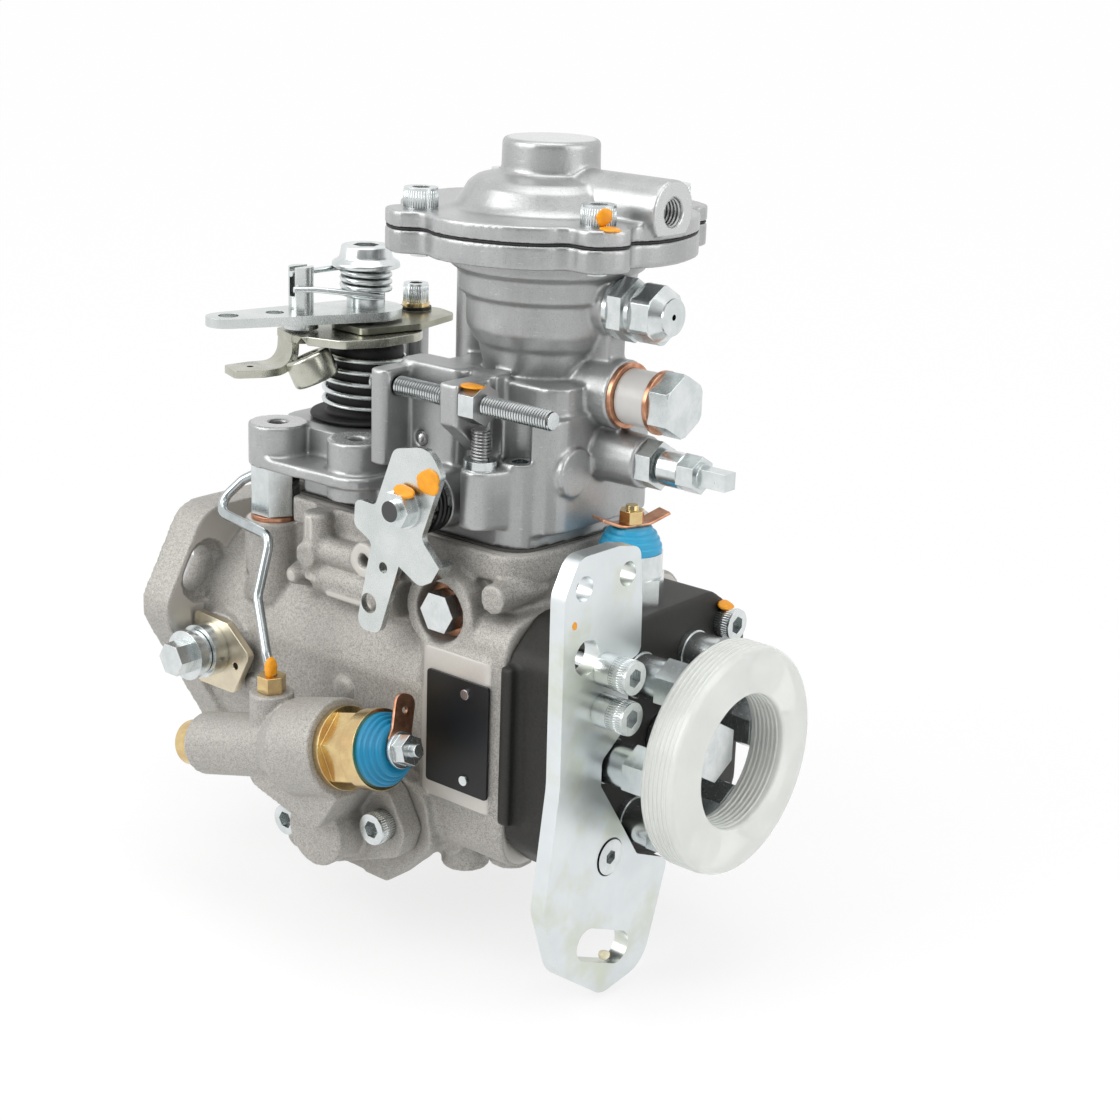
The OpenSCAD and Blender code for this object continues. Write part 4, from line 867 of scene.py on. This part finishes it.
# Piece, node, finish, factor of the cell size, rounds more than set, blocks
CASTINGS = (
    ("housing_body", "pump_housing", "housing casting", 1.15, 0, ()),
    ("cover_body", "governor_cover", "cover casting", 0.85, -1, ()),
    ("boost_cap", "boost_lid", "lid casting", 0.85, -1, ()),
    ("timer_body", "timer_cover", "timer casting", 0.75, -1, ()),
    ("timer_cap", "timer_end_cap", "timer casting", 1.1, 0, ()),
    ("head_body", "distributor_head", "head iron", 1.1, 0, HEAD_BLOCKS),
)


class PUMP_OT_castings(bpy.types.Operator):
    """Housing, cover, lid, timer covers and distributor head"""

    bl_idname = "pump.castings"
    bl_label = "Castings"

    def execute(self, context):
        cast = context.scene.pump_castings
        for name, node, finish, factor, more_rounds, blocks in CASTINGS:
            cast_piece(name, node, finish, cast.voxel * factor, cast.rounds + more_rounds, blocks)
        return {"FINISHED"}


# Piece, node, finish, edge width
PLATES = (
    ("support_plate", "bracket_plate", "sheet zinc", 0.4),
    ("lock_strap", "lock_plate", "yellow zinc", 0.3),
    ("throttle_arm", "throttle_lever", "lever zinc", 0.4),
    ("shutoff_arm", "shutoff_lever", "lever zinc", 0.4),
)
# The throttle shaft's x and y, and the turn of the idle lever about it
THROTTLE = (50.0, -5.0)
LEVER_TURN = 249.5
IDLE_PLATE_Z = 106.0
IDLE_PATH = ((26.8, 107.2, 0), (27.2, 101, 2.5), (30.5, 97.2, 3), (38, 97, 0), (45.5, 97, 0), (46.6, 97, 0),
             (47, 97, 0))
IDLE_WIDTHS = ((26, 12), (30, 12.2), (38, 14), (45.5, 10.8), (46.6, 9.4), (47, 7.8))
EYE_SECTION = ((4.3, -4.8, 0.4), (7.5, -4.8, 1.6), (7.5, 4.4, 1.4), (4.3, 4.4, 0.5))
PIN_SECTION = ((0, -3.8, 0), (4.1, -3.8, 0.3), (4.1, 3.4, 0.7), (0, 3.4, 0))
EYE_AT = (22.6, 9.0, 98.4)
EYE_WAY = (0.34, -0.24, 0.91)
PIN_SLOT_STRETCH = 7


class PUMP_OT_plates(bpy.types.Operator):
    """Stamped plates and levers"""

    bl_idname = "pump.plates"
    bl_label = "Plates and levers"

    def execute(self, context):
        for plate in PLATES:
            turned_piece(*plate)
        place = Matrix.Translation((*THROTTLE, 0)) @ Matrix.Rotation(math.radians(LEVER_TURN), 4, "Z")
        finish = "pale yellow zinc"
        top = broken_edges("idle_top", "idle_lever", 0.35, keep=lambda at: at.z > IDLE_PLATE_Z - 0.1)
        arm = strip("idle_bend", IDLE_PATH, IDLE_WIDTHS, 2.4, finish, place)
        arm = cut(arm, prism("idle_hole", 24, 1.1, 6, place @ Vector((40, 0, 94)), (0, 0, 1)))
        middle = place @ Vector(EYE_AT)
        slope = (place.to_3x3() @ Vector(EYE_WAY)).normalized()
        eye = lathe("idle_eye", EYE_SECTION, middle, slope, finish)
        pin = lathe("idle_pin", PIN_SECTION, middle, slope, "clear zinc")
        slot = prism("idle_slot", 4, 1.0, 2, middle + slope * 2.2, slope)
        stretch = Matrix.Scale(PIN_SLOT_STRETCH, 4, slope.cross((0, 0, 1)))
        slot.data.transform(Matrix.Translation(middle * MM) @ stretch @ Matrix.Translation(-middle * MM))
        settle(joined("idle_arm", [painted(top, finish), arm, eye, cut(pin, slot)]), ["idle_lever"])
        return {"FINISHED"}


# Piece, node, finish, factor of the edge width
FASTENERS = (
    ("screws", "socket_screws", "clear zinc", 1.0),
    ("lock_screw", "lock_bolt", "clear zinc", 1.0),
    ("plugs", "sealing_plugs", "clear zinc", 1.0),
    ("hollow_bolt", "banjo_bolt", "clear zinc", 1.0),
    ("vent", "vent_fitting", "clear zinc", 1.0),
    ("valve_bodies", "delivery_valves", "clear zinc", 1.0),
    ("relief_valve", "pressure_valve", "clear zinc", 1.0),
    ("union_nut", "pipe_nut", "gold zinc", 0.8),
    ("cold_start_body", "coldstart_valve", "gold zinc", 1.1),
    ("solenoid_body", "stop_solenoid", "clear zinc", 1.0),
    ("washers", "copper_washers", "copper", 0.7),
    ("throttle_spindle", "throttle_shaft", "bare steel", 0.8),
    ("shutoff_spindle", "shutoff_shaft", "clear zinc", 0.8),
    ("input_shaft", "drive_shaft", "bare steel", 1.2),
)
KNOB_SECTION = ((4.6, 115, 0), (6.2, 115, 0), (6.2, 128, 0), (11, 128, 0.4), (11, 129.4, 0.6),
                (8.6, 131.0, 0.8), (7.9, 134.9, 0.7), (0, 134.9, 0), (0, 128.1, 0), (4.6, 128.1, 0))
SHUTOFF_THREAD_Y = -56.9
# Seat of each socket head and the way it points
HEADS = (
    (134.8, -25.2, 77.5, "z"), (134.8, 25.2, 77.5, "z"), (31, 25, 63.5, "z"), (84, 26.5, 63.5, "z"),
    *((122 + 40 * math.cos(math.radians(a)), 40 * math.sin(math.radians(a)), 155.4, "z")
      for a in (60, 150, 240, 330)),
    (108.3, -54, -33, "-y"), (69.6, -54, -42.2, "-y"), (111, 53, -30, "y"), (67, 53, -46, "y"),
    (183.3, -36, 32.4, "x"), (183.3, -36.6, 20.1, "x"), (172.8, 29.4, 29.4, "x"), (172.8, 29.4, -29.4, "x"),
)
WAYS = {"x": (1, 0, 0), "y": (0, 1, 0), "-y": (0, -1, 0), "z": (0, 0, 1)}


class PUMP_OT_fasteners(bpy.types.Operator):
    """Screws, nuts, valves and other turned parts"""

    bl_idname = "pump.fasteners"
    bl_label = "Turned parts"

    def execute(self, context):
        edge = context.scene.pump_metal.edge
        for name, node, finish, width in FASTENERS:
            made = turned_piece(name, node, finish, width * edge)
            if name == "shutoff_spindle":
                # painted thread shade on the stud's threaded end
                paint_faces(made, "thread root", lambda at: at.y < SHUTOFF_THREAD_Y)
        knob = lathe("throttle_cap", KNOB_SECTION, (*THROTTLE, 0), (0, 0, 1), "clear zinc")
        socket = prism("knob_socket", 6, 4.3, 6, (*THROTTLE, 131.6), (0, 0, 1), 20)
        settle(cut(knob, socket), ["throttle_knob"])
        ridges = [knurl(f"knurl_{i}", at, WAYS[way], 5.0, 6.0) for i, (*at, way) in enumerate(HEADS)]
        settle(joined("head_knurls", ridges), body="pump")
        return {"FINISHED"}


# The speed screw's y and z, and the start and length of its threads along X
SPEED_SCREW = (-36.0, 101.4)
SPEED_THREADS = ((95.4, 21.4), (130.4, 25.2), (85.2, 2.6))
IDLE_SCREW = (127.8, -35.0)
FULL_LOAD_Z = 84.0
STOP_PILLAR = (50.0, 18.4)
STOP_PLATE_END = 80.0
STOP_PLATE_LOW = 109.0
STOP_PLATE_TOP = 111.2
DARK_WASHER_TOP = 112.5
GOLD_WASHER_TOP = 113.7
IDLE_THREAD_LOW = 84.7
ROOT_RADIUS = 2.9
BALL_SECTION = [(2.35 * math.cos(math.radians(a)), 2.35 * math.sin(math.radians(a)), 0)
                for a in range(-90, 91, 10)]


class PUMP_OT_adjusters(bpy.types.Operator):
    """Adjusting screws with real threads, and the stop plate"""

    bl_idname = "pump.adjusters"
    bl_label = "Adjusting screws"

    def execute(self, context):
        pitch = context.scene.pump_metal.pitch
        y, z = SPEED_SCREW
        shanks = painted(broken_edges("shanks", "adjusting_screws", 0.25), "clear zinc")
        paint_faces(shanks, "olive zinc", is_stop_plate)
        paint_faces(shanks, "bare steel", is_idle_screw_top)
        paint_faces(shanks, "cover casting", is_pillar)
        paint_faces(shanks, "black steel", lambda at: is_on_pillar(at, STOP_PLATE_TOP, DARK_WASHER_TOP))
        paint_faces(shanks, "gold zinc", lambda at: is_on_pillar(at, DARK_WASHER_TOP, GOLD_WASHER_TOP))
        # painted shade between the thread ridges of the speed and idle screws
        paint_faces(shanks, "thread root", is_in_painted_thread_shade)
        parts = [
            shanks,
            *(thread("speed", (x, y, z), (1, 0, 0), 3.0, pitch, length) for x, length in SPEED_THREADS),
            thread("idle_top", (*IDLE_SCREW, 84.8), (0, 0, 1), 3.0, pitch, 8.4, "bare steel"),
            lathe("bore_ball", BALL_SECTION, (100, -30, 85), (0, -1, 0), "bare steel", 32),
            thread("full_load", (168.6, 0, FULL_LOAD_Z), (1, 0, 0), 4.2, pitch, 1.6),
            knurl("stop_knurl", (*STOP_PILLAR, 113.6), (0, 0, 1), 4.1, 6.4, count=32),
        ]
        settle(joined("adjusters", parts), ["adjusting_screws"])
        inside = thread("port_thread", (147, 0, 158.5), (1, 0, 0), 4.75, 1.25, 20.6, "lid casting")
        settle(inside, body="pump")
        return {"FINISHED"}


def is_stop_plate(at):
    """On the fixed stop plate."""
    return at.x < STOP_PLATE_END and STOP_PLATE_LOW < at.z < STOP_PLATE_TOP


def is_pillar(at):
    """On the pillar below the stop plate."""
    return at.x < STOP_PLATE_END and at.y > 0 and at.z < STOP_PLATE_LOW


def is_idle_screw_top(at):
    """On the free end of the idle screw."""
    return at.z > IDLE_THREAD_LOW and (at.xy - Vector(IDLE_SCREW)).length < 4


def is_in_painted_thread_shade(at):
    """On the shanks that carry a thread, painted dark as the shade between the thread's ridges."""
    y, z = SPEED_SCREW
    along = 95.8 < at.x < 116.4 or 130.8 < at.x < 155.2
    return (along and math.hypot(at.y - y, at.z - z) < ROOT_RADIUS) or (
        85 < at.z < 93 and (at.xy - Vector(IDLE_SCREW)).length < ROOT_RADIUS)


def is_on_pillar(at, low, high):
    """Between two heights on the pillar of the stop plate."""
    return low < at.z < high and (at.xy - Vector(STOP_PILLAR)).length < 7


# Name, foot, axis, radius, wire radius, turns, height
INNER_COILS = (
    ("plunger_coil_near", (114, -16.5, 0), (1, 0, 0), 4, 0.9, 6, 15.2),
    ("plunger_coil_far", (114, 16.5, 0), (1, 0, 0), 4, 0.9, 6, 15.2),
    ("timer_coil", (89, -49.2, -38), (0, 1, 0), 4.6, 0.8, 7, 36.2),
    ("governor_coil", (64, 0, 62.5), (1, 0, 0), 3.2, 0.6, 8, 27.5),
)


class PUMP_OT_springs(bpy.types.Operator):
    """Springs wound from round wire"""

    bl_idname = "pump.springs"
    bl_label = "Springs"

    def execute(self, context):
        steps = context.scene.pump_wire.steps
        boot = coil("boot_coil", (*THROTTLE, 83.2), (0, 0, 1), 13.4, 0.9, 4.75, 18.6, "clear zinc", steps)
        settle(boot, ["boot_spring"])
        lever = [
            coil("throttle_coil", (*THROTTLE, 119), (0, 0, 1), 7.6, 0.95, 3.5, 8, "clear zinc", steps),
            bent_wire("upper_leg", ((42.4, -4.9, 127), (42.1, -30.5, 127.2)), 0.93, 3, "clear zinc"),
            bent_wire("lower_leg", ((57.6, -4.9, 119), (56, -11, 120.2), (47.6, -25.6, 122.4),
                                    (44.6, -31.5, 122.6)), 0.93, 3, "clear zinc"),
        ]
        settle(joined("throttle_wire", lever), ["throttle_spring"])
        stop = coil("shutoff_coil", (112, -40.2, 69.5), (0, -1, 0), 8.4, 0.9, 3, 5.6, "black steel", steps)
        settle(stop, ["shutoff_spring"])
        boost = coil("boost_coil", (122, 0, 118.2), (0, 0, 1), 12, 1.1, 5, 27.4, "bare steel", steps)
        settle(boost, ["boost_spring"])
        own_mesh(boost)
        hidden = [coil(*row, "bare steel", steps) for row in INNER_COILS]
        settle(joined("inner_coils", hidden), ["inner_springs"])
        return {"FINISHED"}


PIPE_POINTS = ((34, -35.4, 62.6), (27.4, -38.4, 58.5), (20, -45, 48.5), (53.5, -50.5, 47.4),
               (55.5, -58, 29.5), (66, -64, 15), (69.4, -65, 9.2), (69.4, -65, 2))
PIPE_RADIUS = 1.6


class PUMP_OT_pipe(bpy.types.Operator):
    """Bent steel pipe from the pressure valve to the cold-start valve"""

    bl_idname = "pump.pipe"
    bl_label = "Pressure pipe"

    def execute(self, context):
        bend = context.scene.pump_wire.bend
        settle(bent_wire("steel_pipe", PIPE_POINTS, PIPE_RADIUS, bend, "pipe zinc"), ["pressure_pipe"])
        return {"FINISHED"}


COLD_START_AT = (89, -65, -9.5)
COLD_START_WAY = (math.cos(math.radians(15)), 0, math.sin(math.radians(15)))
STOP_AT = (158, 0)
OUTLETS = 6
OUTLET_CIRCLE = 27.0
CAP_RIDGES = 6
CAP_SECTION = ((20.8, 192, 0.6), (35.2, 192, 1.2), (35.2, 204, 1.8), (20.8, 204, 1.2))
RIVET_Y = -45.3
SOFT_PARTS = (
    ("boot", "dust_boot", "rubber", 0.7),
    ("gaskets", "seals", "gasket", 0.15),
    ("diaphragm", "boost_diaphragm", "rubber", 0.15),
)
NEAR_INSULATOR = ((2, 30, 0), (11.2, 30, 0), (11.2, 31.9, 0.5), (10.3, 32.2, 0.2), (10.3, 33.2, 0.5),
                  (9.2, 33.5, 0.2), (9.2, 34.6, 0.5), (8.0, 34.9, 0.2), (8.0, 35.9, 0.4), (6.8, 36.4, 0.3),
                  (2, 36.4, 0))
TOP_INSULATOR = ((2, 0, 0), (9.6, 0, 0), (9.6, 2.2, 0.5), (8.9, 2.5, 0.2), (8.9, 4.1, 0.6), (8.0, 4.4, 0.2),
                 (8.0, 5.8, 0.6), (6.8, 6.1, 0.2), (6.4, 7.5, 0.5), (2, 7.5, 0))


class PUMP_OT_mouldings(bpy.types.Operator):
    """Transport cap, sleeve, insulators, boot, seals and label plate"""

    bl_idname = "pump.mouldings"
    bl_label = "Plastic and rubber parts"

    def execute(self, context):
        cap = lathe("cap_disc", CAP_SECTION, (0, 0, 0), (1, 0, 0), "cap plastic")
        for i in range(OUTLETS):
            angle = math.tau / OUTLETS * i
            at = (191, OUTLET_CIRCLE * math.cos(angle), OUTLET_CIRCLE * math.sin(angle))
            cap = cut(cap, prism("pocket", 48, 6.1, 10.8, at, (1, 0, 0)))
        settle(cap, ["port_cap"])
        for name, radius, start in (("cap_ridges", 35.0, 193.4), ("cap_threads", 20.9, 193.8)):
            ridges = tree_from(ring_tree).grow(name, "cap plastic", Count=CAP_RIDGES, Pitch=1.55 * MM,
                                               Radius=radius * MM, Ridge=0.5 * MM)
            settle(placed(ridges, (start, 0, 0), (1, 0, 0)), body="pump")
        turned_piece("banjo_tube", "banjo_sleeve", "sleeve plastic", 0.3)
        near = lathe("near_cap", NEAR_INSULATOR, COLD_START_AT, COLD_START_WAY, "blue plastic")
        top = lathe("top_cap", TOP_INSULATOR, (*STOP_AT, 56), (0, 0, 1), "light blue plastic")
        settle(joined("insulating_caps", [near, top]), ["insulators"])
        for part in SOFT_PARTS:
            turned_piece(*part)
        label = turned_piece("label_plate", "name_plate", "label black", 0.2)
        paint_faces(label, "clear zinc", lambda at: at.y < RIVET_Y)
        return {"FINISHED"}


TAB_PATH = ((-12, 3.6, 0), (-4.6, 0.5, 1.5), (4.6, 0.5, 1.5), (12, 3.2, 0))


class PUMP_OT_terminals(bpy.types.Operator):
    """Terminal tabs, studs and nuts of the two solenoids"""

    bl_idname = "pump.terminals"
    bl_label = "Terminals"

    def execute(self, context):
        made = painted(broken_edges("studs", "terminal_tabs", 0.15, keep=is_not_top_tab), "copper")
        paint_faces(made, "clear zinc", is_near_terminal_nut)
        paint_faces(made, "gold zinc", is_top_terminal_nut)
        place = Matrix.Translation((*STOP_AT, 63.5)) @ Matrix.Rotation(math.radians(70), 4, "Z")
        tab = strip("top_tab", TAB_PATH, 6.2, 0.9, "copper", place)
        settle(joined("terminals", [made, tab]), ["terminal_tabs"])
        return {"FINISHED"}


def is_not_top_tab(at):
    """Anywhere but on the flat bar under the stop solenoid's nut."""
    return at.x < 140 or at.z > 64.55 or (at.xy - Vector(STOP_AT)).length < 1.97


def is_near_terminal_nut(at):
    """Nut and stud of the cold-start valve."""
    along = Vector(COLD_START_WAY)
    offset = at - Vector(COLD_START_AT)
    reach = offset.dot(along)
    return at.x < 140 and (reach > 37.42 or (offset - along * reach).length < 2.2)


def is_top_terminal_nut(at):
    """Nut and stud of the stop solenoid."""
    return at.x > 140 and (at.z > 64.4 or (at.xy - Vector(STOP_AT)).length < 2.2)


INNER = {
    "bare steel": ("vane_ring", "governor_shaft", "boost_pin", "vane_rotor", "cam_plate", "plunger",
                   "governor_sleeve", "flyweight_1", "flyweight_2", "flyweight_3", "flyweight_4",
                   "governor_lever", "control_spool", "timing_piston", "roller_ring", "stop_armature"),
    "bronze": ("shaft_bush", "drive_gear", "governor_cage"),
}


class PUMP_OT_inner_parts(bpy.types.Operator):
    """Gives the parts inside their metal finishes"""

    bl_idname = "pump.inner_parts"
    bl_label = "Inner parts"

    def execute(self, context):
        for finish, nodes in INNER.items():
            for node in nodes:
                NODES[node].data.materials[0] = finish_named(finish)
                NODES[node].data.shade_smooth()
        return {"FINISHED"}


ORANGE = "orange lacquer"
CREAM = "cream lacquer"
# Piece, place, normal, size across, thickness, finish, body, seed, stretch, tilt
MARKS = (
    ("mark_lid_screw", (160.6, -22.6, 158.6), (0.8, -0.55, 0.1), 5.4, 1.0, ORANGE, "pump", 3, 0.8, 0),
    ("mark_lid_rim", (163.6, -23.4, 155.5), (0, 0, 1), 5.6, 0.5, ORANGE, "pump", 4, 1.5, -25),
    ("mark_shutoff_arm", (121.6, -50.3, 79.4), (0, -1, 0), 7.2, 0.7, ORANGE, "shutoff", 5, 1.35, 0),
    ("mark_shutoff_nut", (114.0, -52.6, 75.0), (0.1, -0.5, 0.86), 4.6, 1.0, ORANGE, "shutoff", 6, 1.7, 0),
    ("mark_speed_nut", (126.4, -37.4, 106.8), (0, 0, 1), 6.4, 0.6, ORANGE, "pump", 7, 1.25, 20),
    ("mark_head_screw", (174.4, 28.6, 35.2), (0.5, 0, 1), 4.6, 0.7, ORANGE, "pump", 11, 1.3, 60),
    ("mark_plate", (178.0, -50.3, 49.0), (1, 0, 0), 1.9, 0.2, ORANGE, "pump", 13, 1.4, 30),
    ("mark_pipe", (69.4, -65.3, 11.0), (0, -1, 0), 7.0, 2.0, ORANGE, "pump", 15, 0.5, 0),
    ("mark_slot", (176.5, -28.0, -63.2), (0, 0, 1), 3.4, 1.3, CREAM, "pump", 17, 1.0, 0),
)


class PUMP_OT_marks(bpy.types.Operator):
    """Lacquer marks on screws that were set at the factory"""

    bl_idname = "pump.marks"
    bl_label = "Lacquer marks"

    def execute(self, context):
        factor = context.scene.pump_marks.thickness / MARK_THICKNESS
        for name, at, normal, across, thick, finish, body, seed, stretch, tilt in MARKS:
            daub(name, at, normal, across, thick * factor, finish, body, seed, stretch, tilt)
        return {"FINISHED"}


# The photo's camera as fitted; the stage is placed in metres
CAMERA_AT = (0.5176, -0.4733, 0.2417)
CAMERA_RIGHT = (0.76697, 0.64080, 0.03368)
CAMERA_UP = (-0.22004, 0.21333, 0.95188)
CAMERA_BACK = (0.60278, -0.73747, 0.30462)
LENS = 66.16
FLOOR_Z = -0.0765
WHITE = (1.0, 1.0, 1.0, 1.0)
COOL_WHITE = (0.96, 0.98, 1.0, 1.0)
# Lamp, its power setting, place and size
LAMPS = (
    ("key_lamp", "key_power", (-0.35, -0.95, 0.65), 0.9),
    ("fill_lamp", "fill_power", (1.05, 0.15, 0.45), 0.7),
    ("top_lamp", "top_power", (0.15, -0.1, 1.05), 0.8),
)
AIM = Vector((0.07, 0.0, 0.05))


def white_to_the_camera(graph, mirrored=1.0):
    """1 for rays that show the backdrop: from the camera, through clear plastic or off shiny metal."""
    rays = graph.node("ShaderNodeLightPath").socket.node.outputs
    seen, passed, reflected = [Value(graph, rays[label]) for label in
                               ("Is Camera Ray", "Is Transmission Ray", "Is Glossy Ray")]
    return (seen + passed + reflected * mirrored).clamped()


class PUMP_OT_stage(bpy.types.Operator):
    """Floor, ambient light, lamps and camera"""

    bl_idname = "pump.stage"
    bl_label = "Stage"

    def execute(self, context):
        settings = context.scene.pump_stage
        scene = context.scene
        scene.view_settings.view_transform = "Standard"
        self.add_floor(settings)
        self.add_world(scene, settings)
        for name, power, at, size in LAMPS:
            lamp = bpy.data.lights.new(name, "AREA")
            lamp.energy = getattr(settings, power)
            lamp.size = size
            made = bpy.data.objects.new(name, lamp)
            made.location = at
            made.rotation_mode = "QUATERNION"
            made.rotation_quaternion = (AIM - Vector(at)).to_track_quat("-Z", "Y")
            scene.collection.objects.link(made)
        camera = bpy.data.cameras.new("camera")
        camera.lens = LENS
        camera.sensor_width = 36.0
        camera.clip_start = 0.01
        made = bpy.data.objects.new("camera", camera)
        turn = Matrix((CAMERA_RIGHT, CAMERA_UP, CAMERA_BACK)).transposed().to_4x4()
        made.matrix_world = Matrix.Translation(CAMERA_AT) @ turn
        scene.collection.objects.link(made)
        scene.camera = made
        return {"FINISHED"}

    def add_floor(self, settings):
        """A pale floor that renders white and keeps a soft shadow."""
        mesh = bmesh.new()
        bmesh.ops.create_grid(mesh, x_segments=1, y_segments=1, size=15.0)
        mesh.transform(Matrix.Translation((0, 0, FLOOR_Z)))
        floor = object_from(mesh, "floor")
        material, graph, place = new_material("floor_white")
        grain = graph.noise(place, 40.0, 2.0, 0.5)
        colour = rgb(settings.floor_colour)
        base = graph.mix(grain, shade(colour, 0.99), colour)
        matt = graph.node("ShaderNodeBsdfDiffuse", None, {0: base})
        glow = graph.node("ShaderNodeEmission", None, {0: WHITE, 1: 1.0})
        across = graph.node("ShaderNodeVectorMath", {"operation": "LENGTH"}, {0: place}, output=1)
        share = white_to_the_camera(graph) * (across.step(0.12, 0.6) * 0.22 + 0.76)
        both = graph.node("ShaderNodeMixShader", None, {0: share, 1: matt, 2: glow})
        graph.node("ShaderNodeOutputMaterial", None, {0: both})
        floor.data.materials.append(material)

    def add_world(self, scene, settings):
        """White all round, but for the dimmer side of the room behind the camera."""
        world = bpy.data.worlds.new("studio")
        world.use_nodes = True
        graph = Graph(world.node_tree)
        way = graph.node("ShaderNodeTexCoord", output=0)
        height = graph.axes(way)[2]
        toward = graph.node("ShaderNodeVectorMath", {"operation": "DOT_PRODUCT"}, {0: way, 1: CAMERA_BACK},
                            output=1)
        wall = graph.node("ShaderNodeBackground", None, {0: COOL_WHITE, 1: settings.ambient * 0.3})
        ceiling = graph.node("ShaderNodeBackground", None, {0: WHITE, 1: settings.ambient * 1.5})
        room = graph.node("ShaderNodeMixShader", None, {0: height.step(0.12, 0.7), 1: wall, 2: ceiling})
        white = graph.node("ShaderNodeBackground", None, {0: WHITE, 1: 1.0})
        share = white_to_the_camera(graph, 1 - toward.step(0.1, 0.75) * 0.9)
        both = graph.node("ShaderNodeMixShader", None, {0: share, 1: room, 2: white})
        graph.node("ShaderNodeOutputWorld", None, {0: both})
        scene.world = world


class PUMP_PT_panel(bpy.types.Panel):
    """Lists the pump's settings and makers"""

    bl_label = "Injection Pump"
    bl_idname = "PUMP_PT_panel"
    bl_space_type = "VIEW_3D"
    bl_region_type = "UI"
    bl_category = "Pump"

    def draw(self, context):
        for maker in MAKERS:
            self.layout.operator(maker.bl_idname)
        for label in SETTINGS:
            group = getattr(context.scene, label)
            for key in group.__annotations__:
                self.layout.prop(group, key)


SETTINGS = {
    "pump_castings": CastingSettings,
    "pump_metal": MetalSettings,
    "pump_wire": WireSettings,
    "pump_marks": MarkSettings,
    "pump_stage": StageSettings,
}
MAKERS = (PUMP_OT_castings, PUMP_OT_plates, PUMP_OT_fasteners, PUMP_OT_adjusters, PUMP_OT_springs,
          PUMP_OT_pipe, PUMP_OT_mouldings, PUMP_OT_terminals, PUMP_OT_inner_parts, PUMP_OT_marks,
          PUMP_OT_stage)


def register():
    """Makes the settings, operators and panel known to Blender."""
    for kind in SETTINGS.values():
        bpy.utils.register_class(kind)
    for label, kind in SETTINGS.items():
        setattr(bpy.types.Scene, label, PointerProperty(type=kind))
    for maker in MAKERS:
        bpy.utils.register_class(maker)
    bpy.utils.register_class(PUMP_PT_panel)


def unregister():
    """Takes them away again."""
    bpy.utils.unregister_class(PUMP_PT_panel)
    for maker in reversed(MAKERS):
        bpy.utils.unregister_class(maker)
    for label, kind in SETTINGS.items():
        delattr(bpy.types.Scene, label)
        bpy.utils.unregister_class(kind)


def main():
    """Builds every piece."""
    register()
    for maker in MAKERS:
        group, name = maker.bl_idname.split(".")
        getattr(getattr(bpy.ops, group), name)()


if __name__ == "__main__":
    main()
